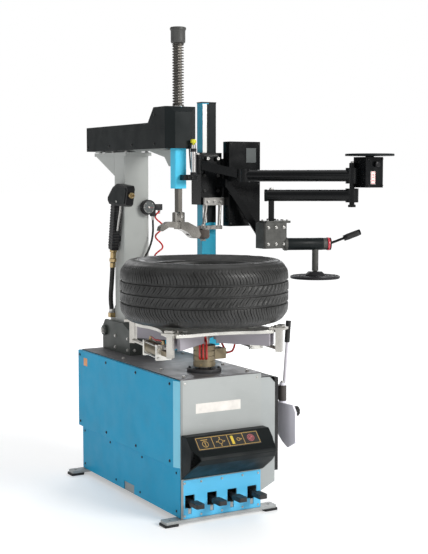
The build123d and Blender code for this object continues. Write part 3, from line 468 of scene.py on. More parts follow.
def sunk(base, axis):
    """A fastener's base, slightly inside its face, and its unit axis."""
    axis = Vector(axis).normalized()
    return Vector(base) - axis * 0.3, axis


def add_bolt(bm, base, axis, size=8.0):
    """Hexagon head bolt on its washer, standing on a face; size is the thread diameter."""
    base, axis = sunk(base, axis)
    lift, head, across = size * 0.2 + 0.3, size * 0.62, size * 0.95
    add_lathe(bm, base, axis, [(0, 0), (size * 1.1, 0), (size * 1.1, lift - 0.4), (size * 1.04, lift),
                               (0, lift)], 28)
    add_lathe(bm, base + axis * lift, axis, [(0, -0.2), (across, -0.2), (across, head * 0.84),
                                             (across * 0.86, head), (0, head)], 6, 0.3)


def add_cap_screw(bm, base, axis, size=6.0):
    """Socket head cap screw with a tapered hollow."""
    base, axis = sunk(base, axis)
    r, h = size * 0.78, size * 0.9
    add_lathe(bm, base, axis, [(0, 0), (r, 0), (r, h - 0.6), (r - 0.6, h), (r * 0.55, h)], 24)
    add_lathe(bm, base, axis, [(r * 0.55, h), (r * 0.5, h * 0.45), (0, h * 0.45)], 24)


def add_screw(bm, base, axis, size=6.0):
    """Domed screw head with a dished centre."""
    base, axis = sunk(base, axis)
    add_lathe(bm, base, axis, [(0, size * 0.2), (size * 0.25, size * 0.22), (size * 0.36, size * 0.56),
                               (size * 0.8, size * 0.44), (size, size * 0.16), (size, 0), (0, 0)], 24)


def turned(name, body, finish, origin, axis, profile, segments):
    """A piece that is one turned solid."""
    piece_of(lambda bm: add_lathe(bm, origin, axis, profile, segments), name, body, finish)


def line(name, body, finish, radius, segments, *routes):
    """A piece of one or more round lines along routes."""
    def build(bm):
        for route in routes:
            add_tube(bm, smooth_route(route), radius, segments)
    piece_of(build, name, body, finish)


def smooth_route(corners, step=3.0):
    """Points along straight runs joined by curves, close together."""
    corners = [Vector(c) for c in corners]
    path = [corners[0]]
    for before, here, after in zip(corners, corners[1:], corners[2:]):
        reach = 0.45 * min((here - before).length, (after - here).length)
        enter = here + (before - here).normalized() * reach
        leave = here + (after - here).normalized() * reach
        steps = max(4, int(2 * reach / step))
        path += [(enter * (1 - t) + here * t) * (1 - t) + (here * (1 - t) + leave * t) * t
                 for t in (i / steps for i in range(steps + 1))]
    path.append(corners[-1])
    dense = [path[0]]
    for a, b in zip(path, path[1:]):
        count = max(1, round((b - a).length / step))
        dense += [a.lerp(b, (i + 1) / count) for i in range(count)]
    return dense


def frames_along(points):
    """(place, side, up) at each point, turning as little as possible."""
    made, side = [], None
    for i, point in enumerate(points):
        along = (points[min(i + 1, len(points) - 1)] - points[max(i - 1, 0)]).normalized()
        if side is None:
            side = basis(along)[0]
        side = (side - along * side.dot(along)).normalized()
        made.append((point, side, along.cross(side)))
    return made


def coil(points, radius, turns, ease=0.06):
    """A helix round a path; its radius grows from nothing at both ends so that it meets the fittings."""
    line = frames_along(points)
    fine = []
    steps = int(turns * 28)
    for i in range(steps + 1):
        t = i / steps
        at = t * (len(line) - 1)
        k = min(int(at), len(line) - 2)
        (p, s, u), (q, s2, u2) = line[k], line[k + 1]
        f = at - k
        grow = min(1.0, t / ease, (1 - t) / ease)
        grow = grow * grow * (3 - 2 * grow)
        a = 2 * math.pi * turns * t
        out = s.lerp(s2, f) * math.cos(a) + u.lerp(u2, f) * math.sin(a)
        fine.append(p.lerp(q, f) + out * radius * grow)
    return fine


# ---------------------------------------------------------------- pieces taken from the CAD with soft edges
EDGE_WIDTHS = {
    0.5: "air_inlet",
    0.6: "drive_belt",
    0.8: "pedal_plate pedal_shaft rotary_coupling lock_button",
    1.0: "breaker_cylinder tilt_cylinder wheel_pad gearbox_pulley motor_pulley turntable_shaft breaker_rod",
    1.2: "cabinet_frame top_plate front_panel pedal_tilt pedal_breaker pedal_jaws pedal_turntable "
         "slide_guides pressure_gauge roller_bracket press_disc",
    1.5: "foot_bars gearbox drive_motor turntable_plate column_unions arm_beam carriage bead_roller "
         "lower_link press_block press_lever breaker_arm clamp_jaw_2 clamp_jaw_4",
    1.6: "column_base assist_post breaker_blade",
    2.0: "foot_pads side_cover wheel_pad_bracket column_tube carriage_cover",
    3.5: "arm_cover",
    4.0: "pedal_hood inflator_gun mount_head",
}
for width, nodes in EDGE_WIDTHS.items():
    for node in nodes.split():
        refine(node, width)

TRAY_FOOT_Z, BRACKET_TOP_Z, JAW_FOOT_Z = 1484.0, 1410.0, 715.0
NOSE_Z, CAP_Z, CAP_BORE = 1692.0, 1958.0, 22.0
refine("guide_tube", 1.0, finish="tube_blue")
refine("upper_link", 1.5, lambda c: c.z < TRAY_FOOT_Z)
refine("upper_link", 0.8, lambda c: c.z >= TRAY_FOOT_Z, name="tool_tray", finish="moulding_black",
       stands=False)
refine("lock_cylinder", 1.2, lambda c: c.z > BRACKET_TOP_Z)
refine("lock_cylinder", 2.0, lambda c: c.z <= BRACKET_TOP_Z, name="lock_bracket", finish="assist_black",
       stands=False)
refine("tool_shaft", 0.8, drop=lambda c: c.z > CAP_Z - 0.5 and math.hypot(c.x, c.y - SHAFT_Y) > CAP_BORE)
for jaw in ("clamp_jaw_1", "clamp_jaw_3"):
    refine(jaw, 1.5, lambda c: c.z > JAW_FOOT_Z)
    refine(jaw, 1.2, lambda c: c.z <= JAW_FOOT_Z, name=jaw.replace("jaw", "cylinder"), finish="coupling_zinc",
           stands=False)


# ---------------------------------------------------------------- tyre
TYRE_CENTRE = Vector((0, TABLE_Y, 931))
PITCHES = 78
GROOVES = (-44.0, 0.0, 44.0)


def tyre_outline():
    """(radius, height above the centre, tread share) from the lower bead round the outside to the upper."""
    lower = [(215, -92, 0), (216.5, -99, 0), (221, -104, 0), (230, -106.5, 0), (236, -105, 0), (243, -108, 0),
             (256, -117, 0), (268, -123, 0), (272, -122, 0), (276, -125, 0), (290, -126, 0), (303, -125, 0),
             (308, -122, 0), (311, -122.6, 0), (318, -117, 0), (322, -115.6, 0.0), (329, -108, 0.0),
             (333.5, -101.5, 0.25), (338, -95, 0.8), (343, -87, 1), (345.5, -80, 1)]
    tread = [(346.4, -74, 1), (347.4, -62, 1), (347.8, -50, 1)]
    for centre in GROOVES:
        crown = 348.8 - 0.0006 * centre * centre
        for offset, deep in ((-5.5, 0), (-4.2, 8), (0.0, 8.4), (4.2, 8), (5.5, 0)):
            tread.append((crown - deep, centre + offset, 0 if deep else 1))
        if centre < 40:
            tread += [(crown + 0.2, centre + 16, 1), (crown + 0.2, centre + 28, 1)]
    upper = [(r, -h, t) for r, h, t in reversed(lower)]
    closing = [(347.8, 50, 1), (347.4, 62, 1), (346.4, 74, 1)]
    return lower + tread + closing + upper


def tyre_surface(bm):
    """Closed tyre skin, with cross cuts in the tread ribs and three grooves round them."""
    outline = tyre_outline()
    inside = [(215, 72), (233, 84), (256, 100), (281, 111), (306, 111), (324, 88), (333, 66), (334, 0),
              (333, -66), (324, -88), (306, -111), (281, -111), (256, -100), (233, -84), (215, -72)]
    step = 2 * math.pi / PITCHES
    shares = (0.0, 0.04, 0.09, 0.13, 0.5, 0.53, 0.56, 0.59)
    cut_depth = {1: 3.6, 2: 3.6, 5: 1.8, 6: 1.8}
    columns = []
    for p in range(PITCHES):
        for k, share in enumerate(shares):
            rows = []
            for radius, height, tread in outline:
                slant = 0.10 * math.sin(max(-92, min(92, height)) / 34.0)
                rib = 0 if abs(height) < 5.6 or abs(abs(height) - 44) < 5.6 else 1
                depth = cut_depth.get(k, 0.0) * tread * rib
                if abs(height) < 38 and k in (5, 6):
                    depth *= 0.6
                a = (p + share) * step + slant
                r = radius - depth
                rows.append(bm.verts.new(TYRE_CENTRE + Vector((r * math.cos(a), r * math.sin(a), height))))
            for radius, height in inside:
                a = (p + share) * step
                rows.append(bm.verts.new(TYRE_CENTRE + Vector((radius * math.cos(a), radius * math.sin(a),
                                                               height))))
            columns.append(rows)
    for i, here in enumerate(columns):
        there = columns[(i + 1) % len(columns)]
        for k in range(len(here)):
            m = (k + 1) % len(here)
            bm.faces.new((here[k], there[k], there[m], here[m]))


def sidewall_marks(bm):
    """Raised plain blocks and vent pips round both sidewalls, with no lettering."""
    for face, i in grid((-1, 1), tuple(range(24))):
        along = level(15 * (i + 0.5))
        place = upright(TYRE_CENTRE + along * 296 + Z_AXIS * face * 125.4, along)
        if i % 6 in (0, 1):
            add_box(bm, (-7, -16, -0.8), (7, 16, 0.5), place)
        else:
            add_lathe(bm, place.translation - Z_AXIS * 0.8, Z_AXIS,
                      [(0, 0), (1.6, 0), (1.4, 1.3), (0, 1.3)], 10)


piece_of(tyre_surface, "tyre_finish", "tyre", "tyre_rubber", "loaded_tyre", sharp=40)
piece_of(sidewall_marks, "tyre_sidewall_marks", "tyre", "tyre_rubber", edges=0.3)


# ---------------------------------------------------------------- return spring and cap
def spring_wire(bm):
    """A helix whose first and last turns lie closed."""
    turns, wire, mean, squeeze = 24, 3.0, 21.9, 0.35
    closed, steps = 1.1 / turns, turns * 30
    points = []
    for i in range(steps + 1):
        t = i / steps
        if t < closed:
            rise = t * squeeze
        elif t > 1 - closed:
            rise = 1 - (1 - t) * squeeze
        else:
            rise = closed * squeeze + (t - closed) * (1 - 2 * closed * squeeze) / (1 - 2 * closed)
        z = NOSE_Z + wire + rise * (CAP_Z - NOSE_Z - 2 * wire)
        a = 2 * math.pi * turns * t
        points.append((mean * math.cos(a), SHAFT_Y + mean * math.sin(a), z))
    add_tube(bm, points, wire, 10)


spring = piece_of(spring_wire, "return_spring_wire", "arm", "spring_steel", "return_spring")
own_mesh(spring)
turned("spring_cap", "tool", "cap_grey", (0, SHAFT_Y, CAP_Z), Z_AXIS,
       [(0, 0), (28, 0), (29.5, 1.2), (31, 5), (31.2, 12), (31.2, 50), (32.5, 54), (34.5, 56), (34.5, 62),
        (33.5, 65), (31, 66.6), (24, 67), (12, 66.2), (0, 66)], 64)
piece_of(lambda bm: add_ring(bm, (0, SHAFT_Y, NOSE_Z - 0.3), Z_AXIS, 19.5, 27.5, 2.6), "spring_seat", "arm",
         "zinc_bolt")


# ---------------------------------------------------------------- hoses on the column
GUN_ROUTE = [(-90, 356, 984), (-90, 360.42, 950), (-90, 368, 900), (-89, 380, 850), (-82, 394, 812),
             (-76, 400, 786), (-76, 400, 764)]
GAUGE_ROUTE = [(76, 271, 1214), (76, 271, 1190), (74, 264, 1150), (62, 253, 1104), (44, 253, 1058),
               (32, 262, 1030), (32, 271, 1012), (32, 271, 992)]
COIL_ROUTE = [(108, 271, 1242), (108, 271, 1190), (110, 272, 1140), (108, 272, 1080), (104, 271, 1036),
              (104, 271, 992)]


def black_hoses(bm):
    """The inflator hose and the gauge hose."""
    add_tube(bm, smooth_route(GUN_ROUTE), 10.8, 24)
    add_tube(bm, smooth_route(GAUGE_ROUTE), 4.8, 16)


piece_of(black_hoses, "black_hoses", "column", "hose_black", "column_hoses")
piece_of(lambda bm: add_tube(bm, coil(smooth_route(COIL_ROUTE), 17.4, 2.7, 0.07), 4.2, 14), "red_coil_hose",
         "column", "hose_red", "coil_hose")


def hose_fittings(bm):
    """Ferrule and hexagon at each hose end."""
    for (x, y, z), up, r in (((76, 271, 1214), -1, 6.5), ((32, 271, 992), 1, 6.5), ((108, 271, 1242), -1, 6),
                             ((104, 271, 992), 1, 6), ((-76, 400, 764), 1, 12.2)):
        add_lathe(bm, (x, y, z - up * 0.5), (0, 0, up),
                  [(0, 0), (r + 1.6, 0), (r + 1.6, 6), (r + 0.8, 7), (0, 7)], 6, 0.26)
        add_lathe(bm, (x, y, z + up * 6), (0, 0, up), [(r, 0), (r, 10), (r - 0.8, 11), (0, 11)], 28)


def gun_tail(bm):
    """Collar, hexagon and ferrule between the gun's grip and its hose."""
    start, end = Vector((-90, 345.6, 1064)), Vector((-90, 356, 984))
    way = (end - start).normalized()
    add_lathe(bm, start, way, [(0, 0), (16, 0), (17, 1.2), (17, 12), (14.6, 15), (13.4, 16), (13.4, 40),
                               (12.6, 42), (0, 42)], 32)
    add_lathe(bm, start + way * 44, way, [(0, 0), (16.4, 0), (16.4, 15), (14.8, 16.6), (0, 16.6)], 6)
    add_lathe(bm, start + way * 64, way, [(0, 0), (13, 0), (13, 20), (12.2, 21.5), (0, 21.5)], 32)


piece_of(hose_fittings, "hose_fittings", "column", "zinc_bolt")
piece_of(gun_tail, "gun_tail_fittings", "column", "fitting_brass")


# ---------------------------------------------------------------- gauge and inflator gun
def dial_on(origin, axis, radius, name, body):
    """A dial face with ticks, a needle and a hub, on a disc that faces along the axis."""
    origin, axis = Vector(origin), Vector(axis)
    side, up = basis(axis)

    def towards(degrees, lift=0.0):
        """A local frame whose X points at a clock angle."""
        a = math.radians(degrees)
        out = side * math.sin(a) + up * math.cos(a)
        return placed(origin + axis * lift, out, axis.cross(out), axis)

    def marks(bm):
        for i in range(25):
            inner, half = (0.72, 0.5) if i % 4 == 0 else (0.82, 0.25)
            add_box(bm, (radius * inner, -half, 0.5), (radius * 0.93, half, 0.95),
                    towards(-135 + 270 * i / 24))
        add_lathe(bm, origin, axis, [(0, 0), (radius * 0.13, 0), (radius * 0.13, 2.2), (radius * 0.09, 2.6),
                                     (0, 2.6)], 20)

    def needle(bm):
        tail, tip = -radius * 0.2, radius * 0.8
        add_prism(bm, [(tail, -0.9), (tip, -0.25), (tip, 0.25), (tail, 0.9)], 0.5, towards(-82, 1.2))

    turned(name + "_face", body, "label_grey", origin, axis, [(0, 0), (radius, 0), (radius, 0.7), (0, 0.7)],
           48)
    piece_of(marks, name + "_marks", body, "label_white")
    piece_of(needle, name + "_needle", body, "ring_red")
    turned(name + "_bezel", body, "gauge_black", origin - axis * 1.5, axis,
           [(radius + 0.2, 0), (radius + 4.6, 0), (radius + 4.9, 1), (radius + 4.9, 3.2), (radius + 3.4, 4.8),
            (radius + 1.0, 5), (radius - 0.2, 3.4), (radius + 0.2, 0)], 56)


dial_on((48, 253, 1256), (0, -1, 0), 29.0, "pressure_dial", "column")


def gun_side_cover(bm):
    """Raised half shell on the outer side of the inflator gun's head."""
    outline = [(164, 1334), (170, 1345), (262, 1354), (300, 1340), (350, 1300), (340, 1282), (296, 1275),
               (196, 1271), (182, 1277)]
    add_prism(bm, outline, 4.5, placed((-113, 0, 0), Y_AXIS, Z_AXIS, X_AXIS))


piece_of(gun_side_cover, "gun_side_cover", "column", "moulding_black", edges=1.8)
GRIP_TOP, GRIP_FOOT = Vector((-92, 304, 1290)), Vector((-90, 346, 1062))


def gun_trigger(bm):
    """Bent lever and its cross pin."""
    points = [(-92, 262, 1266), (-92, 266, 1240), (-91.5, 281, 1206), (-91, 294, 1172), (-91, 300, 1150)]
    add_tube(bm, smooth_route(points, 4), 4.6, 12)
    add_rod(bm, (-114.5, 262, 1284), (-72, 262, 1284), 5.0, 20)


def gun_nozzle(bm):
    """Stepped outlet at the front of the gun."""
    add_lathe(bm, (-92, 152, 1312), -Y_AXIS, [(0, -4), (13, -4), (13, 8), (11.5, 9.5), (7.5, 9.5), (7.5, 22),
                                              (5.5, 22), (5.5, 10), (0, 10)], 28)


def grip_ribs(bm):
    """Raised bands round the broad grip."""
    way = (GRIP_FOOT - GRIP_TOP).normalized()
    across = way.cross(X_AXIS).normalized()
    for i in range(15):
        place = placed(GRIP_TOP.lerp(GRIP_FOOT, 0.14 + 0.055 * i), across.cross(way), across, way)
        add_box(bm, (-18.4, -22.4, 0), (18.4, 22.4, 6.6), place)


piece_of(gun_trigger, "gun_trigger", "column", "zinc_bolt")
piece_of(gun_nozzle, "gun_nozzle", "column", "fitting_brass")
piece_of(grip_ribs, "gun_grip_ribs", "column", "grip_black", edges=1.6)


# ---------------------------------------------------------------- pedal hood label
def hood_label():
    """A framed field with four plain symbols on the hood's sloped face."""
    slope = Vector((0, 50, 53)).normalized()
    normal = X_AXIS.cross(slope)
    place = placed((-9.5, -555, 338.5), X_AXIS, slope, normal)

    def field(bm):
        add_box(bm, (-147, -31, -0.5), (147, 31, 0.5), place)

    def frame_lines(bm):
        w, h, t = 143.0, 27.0, 2.2
        for y0 in (-h, h - t):
            add_box(bm, (-w, y0, 0.2), (w, y0 + t, 1.0), place)
        for x0 in (-w, -72.5, -1.1, 70.5, w - t):
            add_box(bm, (x0, -h, 0.2), (x0 + t, h, 1.0), place)

    def outline_ring(bm, x, y, r, t=2.0):
        add_lathe(bm, place @ Vector((x, y, 0.2)), normal,
                  [(r - t, 0), (r, 0), (r, 0.8), (r - t, 0.8), (r - t, 0)], 32)

    def arrow(bm, x, y, angle, length):
        turn = place @ Matrix.Translation((x, y, 0.2)) @ Matrix.Rotation(math.radians(angle), 4, "Z")
        add_box(bm, (-length / 2, -1.1, 0), (length / 2 - 4, 1.1, 0.8), turn)
        add_prism(bm, [(length / 2 - 6, -3.6), (length / 2, 0), (length / 2 - 6, 3.6)], 0.8, turn)

    def gold_symbols(bm):
        outline_ring(bm, -107, -4, 14)
        add_box(bm, (-122, 14, 0.2), (-92, 17, 1.0), place)
        arrow(bm, -107, -4, 90, 20)
        outline_ring(bm, -36, 0, 11)
        for angle in (0, 90, 180, 270):
            a = math.radians(angle)
            arrow(bm, -36 + 17 * math.cos(a), 17 * math.sin(a), angle, 10)
        outline_ring(bm, 48, 0, 8)
        arrow(bm, 57, 0, 0, 16)

    def yellow_symbol(bm):
        add_prism(bm, [(14, -19), (26, -19), (26, 19), (14, 19)], 0.8,
                  place @ Matrix.Translation((0, 0, 0.2)))

    def red_symbol(bm):
        for r in (16, 11, 6):
            outline_ring(bm, 106, 0, r, 1.8)
        arrow(bm, 106, 0, 35, 20)

    piece_of(field, "hood_label_field", "cabinet", "label_black", edges=0.3)
    piece_of(frame_lines, "hood_label_frame", "cabinet", "label_gold")
    piece_of(gold_symbols, "hood_label_symbols", "cabinet", "label_gold")
    piece_of(yellow_symbol, "hood_label_bar", "cabinet", "label_yellow")
    piece_of(red_symbol, "hood_label_rings", "cabinet", "label_pink")


hood_label()


# ---------------------------------------------------------------- cabinet details
def plate_at(name, low, high, body, finish, edges=0.3):
    """A thin plate or block."""
    piece_of(lambda bm: add_box(bm, low, high), name, body, finish, edges=edges)


plate_at("side_sticker", (-204.5, 396, 520), (-203.6, 436, 556), "cabinet", "label_orange")
plate_at("corner_strip_upper", (-190.5, -487.4, 186), (-180, -485.4, 588), "cabinet", "cabinet_grey")
plate_at("corner_strip_lower", (-190.5, -491.4, 22), (-180, -489.4, 186), "cabinet", "cabinet_grey")
plate_at("front_name_plate", (-120, -486.8, 446), (90, -485.6, 486), "cabinet", "label_white")


def painted_bevel_highlight(bm):
    """Painted highlight: a lighter blue facing on the side cover's bevelled front edge, standing in for the
    light the bevel catches.
    """
    low, high = 231.0, 583.0
    start, end = Vector((-191.0, -485.4, low)), Vector((-204.4, -451.0, low))
    along = (end - start).normalized()
    out = Vector((-abs(along.y), -abs(along.x), 0))
    add_box(bm, (0, 0, -0.4), ((end - start).length, high - low, 0.5), placed(start, along, Z_AXIS, out))


# The bevel strip is a painted highlight, not a separate trim.
piece_of(painted_bevel_highlight, "cover_painted_bevel_highlight", "cabinet", "bevel_blue", edges=0.4)


def pad_cap(bm):
    """Moulded cap along the sloped top of the wheel pad bracket."""
    outline = [(190.5, 565.5), (236.6, 565.5), (263.2, 538.6), (265.4, 539.4), (237.6, 568.6), (190.5, 568.6)]
    add_prism(bm, outline, 153, placed((0, -328.5, 0), X_AXIS, Z_AXIS, -Y_AXIS))


piece_of(pad_cap, "pad_cap", "cabinet", "moulding_black", edges=0.9)


def rear_louvres(bm):
    """Pressed louvres across the cabinet's back."""
    for i in range(9):
        add_prism(bm, [(0, 0), (4.2, 1.5), (0.6, 9.5), (0, 9.5)], 180,
                  placed((-90, 481.6, 96 + 15 * i), Y_AXIS, Z_AXIS, X_AXIS))


def side_access_panel(bm):
    """Thin door on the plain right side, with a folded rim and two finger dimples."""
    add_box(bm, (188.6, -40, 70), (190.9, 300, 330))
    for y in (60, 200):
        add_lathe(bm, (190.5, y, 308), X_AXIS,
                  [(0, 0), (15, 0), (15, 0.9), (13.4, 1.7), (11.8, 0.9), (0, 0.5)], 32)


piece_of(side_access_panel, "side_access_panel", "cabinet", "cabinet_grey", edges=0.9)
piece_of(rear_louvres, "rear_louvres", "cabinet", "cabinet_grey", edges=0.5)


# ---------------------------------------------------------------- turntable details
JAW_ANGLES = (217.0, 127.0, 37.0, 307.0)
JAW_RADIUS = 330.0


def table_point(angle, radius, z=0.0):
    """A point round the table's axis."""
    return Vector((0, TABLE_Y, z)) + level(angle) * radius


def table_fixings(bm):
    """The centre bolt and the screws round it."""
    add_bolt(bm, (0, TABLE_Y, 784), Z_AXIS, 16.0)
    for angle in JAW_ANGLES:
        add_cap_screw(bm, table_point(angle + 45, 74, 779.6), Z_AXIS, 9.0)


piece_of(table_fixings, "table_fixings", "turntable", "zinc_bolt")


def table_rings(bm):
    """Raised rings turned into the table top."""
    for r in (52, 110, 150):
        add_lathe(bm, (0, TABLE_Y, 779.8), Z_AXIS,
                  [(r - 1.2, 0), (r - 0.8, 0.35), (r + 0.8, 0.35), (r + 1.2, 0)], 96)


piece_of(table_rings, "table_rings", "turntable", "plain_steel")


def jaw_teeth(index):
    """Gripping teeth and two screws on a jaw's top."""
    place = upright(table_point(JAW_ANGLES[index], JAW_RADIUS), level(JAW_ANGLES[index]))

    def build(bm):
        for i in range(6):
            add_prism(bm, [(-7.4, 0), (-9.8, 2.6), (-7.4, 5.2)], 7.5,
                      place @ Matrix.Translation((0, -18.4 + 6.2 * i, 791.2)))
        for y in (-19, 19):
            add_cap_screw(bm, place @ Vector((-24, y, 790.4)), Z_AXIS, 6.0)
    piece_of(build, f"jaw_teeth_{index + 1}", f"jaw_{index + 1}", "jaw_steel")


for jaw_index in range(4):
    jaw_teeth(jaw_index)

CLAMP_Z = 702.0


def clamp_matrix(jaw, towards):
    """Local X runs from one jaw's centre along the table side to its partner."""
    here, there = (table_point(JAW_ANGLES[i], JAW_RADIUS, CLAMP_Z) for i in (jaw, towards))
    return upright(here, (there - here).normalized())


def clamp_details(jaw, towards):
    """End plates, tie rods, ports and the air line of one clamp cylinder."""
    place = clamp_matrix(jaw, towards)

    def ties(bm):
        for y, z in grid((-23, 23), (-23, 23)):
            add_rod(bm, place @ Vector((74, y, z)), place @ Vector((248, y, z)), 3.2, 14)
            for x, way in ((246, 1), (76, -1)):
                add_lathe(bm, place @ Vector((x - way * 0.3, y, z)), place.to_3x3() @ Vector((way, 0, 0)),
                          [(0, 0), (6.2, 0), (6.2, 4.2), (5.4, 5), (0, 5)], 6)

    def ports(bm):
        for x in (83, 239):
            start = place @ Vector((x, 0, 30.6))
            add_lathe(bm, start, Z_AXIS, [(0, 0), (7, 0), (7, 6), (6.2, 6.8), (0, 6.8)], 6)
            add_rod(bm, start + Z_AXIS * 6, start + Z_AXIS * 15, 4.6, 18)
            add_rod(bm, start + Z_AXIS * 12, place @ Vector((x + (14 if x < 100 else -14), 0, 42.6)), 4.4, 18)

    def plates(bm):
        for x in (75.5, 231.5):
            add_box(bm, (x, -31.6, -31.6), (x + 15, 31.6, 31.6), place)

    body = f"jaw_{jaw + 1}"
    piece_of(plates, f"clamp_plates_{jaw + 1}", body, "zinc_plate", edges=1.2)
    piece_of(ties, f"clamp_ties_{jaw + 1}", body, "zinc_bolt")
    piece_of(ports, f"clamp_ports_{jaw + 1}", body, "fitting_brass")
    line(f"clamp_air_line_{jaw + 1}", body, "hose_red", 3.0, 12,
         [place @ Vector(p) for p in ((95, 0, 42.6), (123, 3, 43), (161, 8, 40), (199, 3, 43), (227, 0, 42.6))])


clamp_details(0, 1)
clamp_details(2, 3)


COUPLING_SIDES = ((-1, 118), (1, 112))


def coupling_fittings(bm):
    """Fittings at both ends of the two plain lines, and screws round the coupling."""
    for side, out in COUPLING_SIDES:
        add_lathe(bm, (87.6, TABLE_Y + side * 16, 662), X_AXIS,
                  [(0, 0), (7.5, 0), (7.5, 7), (6.6, 8), (5.4, 8), (5.4, 14), (0, 14)], 6)
        add_lathe(bm, (out - 20, TABLE_Y + side * 68, 766.2), -Z_AXIS,
                  [(0, 0), (7.5, 0), (7.5, 7), (5.6, 8), (5.6, 14), (0, 14)], 6)
    for z, angle in grid((622, 692), (45, 135, 225, 315)):
        add_lathe(bm, table_point(angle, 45.6, z), level(angle),
                  [(0, 0), (3.6, 0), (3.6, 1.6), (2.6, 2.4), (0, 2.4)], 12)


# Three red lines rise beside the coupling and turn in over its top.
LOOP_ROUTE = ((45, 648), (54, 648), (60, 656), (60, 690), (56, 712), (44, 724), (34, 724), (30, 742))
line("coupling_loops", "turntable", "hose_red", 4.6, 14,
     *([table_point(angle, r, z) for r, z in LOOP_ROUTE] for angle in (222, 236, 250)))
# Two short red lines run from the coupling's outlet block up to fittings under the plate.
line("coupling_lines", "turntable", "hose_red", 4.2, 14,
     *([(x, TABLE_Y + side * y, z)
        for x, y, z in ((88, 16, 662), (104, 18, 662), (118, 30, 668), (out, 52, 696), (out - 18, 66, 736),
                        (out - 20, 68, 762))] for side, out in COUPLING_SIDES))
piece_of(coupling_fittings, "coupling_fittings", "turntable", "fitting_brass")


# ---------------------------------------------------------------- column and arm details


def cover_seam(bm):
    """Raised joint line between the two halves of the arm cover."""
    for low, high in ((-74.7, -73.4), (73.4, 74.7)):
        add_box(bm, (low, -132, 1601), (high, 668, 1603.4))


piece_of(cover_seam, "arm_cover_seam", "arm", "moulding_black", edges=0.5)


def lock_rings(bm):
    """Dark end rings of the lock cylinder."""
    for z0, z1, r in ((1404, 1414, 13.5), (1500, 1514, 13.2)):
        add_lathe(bm, (36, -188, z0), Z_AXIS, [(10.5, 0), (r, 0), (r, z1 - z0 - 1), (r - 1, z1 - z0),
                                               (10.5, z1 - z0)], 32)


piece_of(lock_rings, "lock_cylinder_rings", "arm", "gauge_black")


line("lock_air_line", "arm", "hose_black", 3.2, 12,
     [(36, -178, 1424), (36, -170, 1424), (38, -160, 1432), (40, -152, 1456), (40, -148, 1490),
      (38, -146, 1530)])


def bill_insert(bm):
    """Plastic insert under the duck bill."""
    add_prism(bm, [(40, 1150), (62, 1131.4), (90, 1129.6), (96, 1138), (84, 1150)], 28,
              placed((0, SHAFT_Y + 14, 0), X_AXIS, Z_AXIS, -Y_AXIS))


piece_of(bill_insert, "bill_insert", "tool", "roller_plastic", edges=1.0)


# ---------------------------------------------------------------- assist arm details
# The post's polished rail is drawn as flat stripes of painted reflection: a white strip for the bright
# reflection, a narrow black strip beside it for the dark reflection.
plate_at("post_painted_reflection_strip", (332, 256.0, 1180), (354, 257.2, 1734), "cabinet", "rail_bright")
# A flat black plate is the painted shade of the carriage's recessed channel beside the rail.
plate_at("post_painted_channel_shade", (368, 258.4, 1180), (405, 260.2, 1739), "cabinet", "moulding_black")
plate_at("post_painted_dark_reflection", (354, 256.6, 1180), (366, 257.4, 1734), "cabinet", "moulding_black")
plate_at("post_cap", (328.5, 258.8, 1739), (407.5, 309.5, 1744), "cabinet", "moulding_black", 1.4)
plate_at("beam_cap", (411.5, 238, 596), (414, 330, 658), "cabinet", "moulding_black", 0.8)
plate_at("carriage_cover_panel", (524, 179.0, 1462), (578, 180.4, 1530), "carriage", "label_grey", 0.4)


plate_at("link_end_label", (900, -286.8, 1362), (926, -285.6, 1420), "upper_link", "label_white")


def label_frame(bm):
    """A frame line round the link's end label, with three plain dots."""
    for (x0, z0), (x1, z1) in (((901.5, 1363.5), (924.5, 1366)), ((901.5, 1416), (924.5, 1418.5)),
                               ((901.5, 1363.5), (904, 1418.5)), ((922, 1363.5), (924.5, 1418.5))):
        add_box(bm, (x0, -287.2, z0), (x1, -286.6, z1))
    for z in (1378, 1392, 1404):
        add_lathe(bm, (913, -286.5, z), -Y_AXIS, [(0, 0), (4.2, 0), (4.2, 0.7), (0, 0.7)], 20)


piece_of(label_frame, "link_end_label_frame", "upper_link", "label_pink")
turned("link_lock_knob", "upper_link", "gauge_black", (930, -288, 1452), -Y_AXIS,
       [(0, 0), (7, 0), (7, 4), (13, 6), (14, 9), (13, 14), (9, 16), (0, 16)], 32)


def tray_mat(bm):
    """Rubber mat with round ribs in the tool tray."""
    add_lathe(bm, (930, -238, 1493.8), Z_AXIS, [(0, 0.6), (99, 0.6), (101, 1.4), (102, 0.2)], 72)
    for r in range(14, 98, 12):
        add_lathe(bm, (930, -238, 1494.2), Z_AXIS,
                  [(r - 1.6, 0), (r - 0.8, 1.2), (r + 0.8, 1.2), (r + 1.6, 0)], 72)


piece_of(tray_mat, "tray_mat", "upper_link", "grip_black")
LINK_START, LINK_END = Vector((860, -200, 1310)), Vector((540, -15, 1310))
LINK_WAY = (LINK_END - LINK_START).normalized()
turned("lower_link_cap", "lower_link", "moulding_black", LINK_END + LINK_WAY * 29.6, LINK_WAY,
       [(27.6, -10), (27.6, 0), (26, 2.4), (0, 2.6)], 48)


def block_fixings(bm):
    """Screws on the press block's top and bolts on its front."""
    for place in grid((506, 590, 612), (-38, 8), 1194):
        add_cap_screw(bm, place, Z_AXIS, 6.5)
    for place in grid((498, 540, 582), -57, (1088, 1164)):
        add_bolt(bm, place, -Y_AXIS, 7.0)


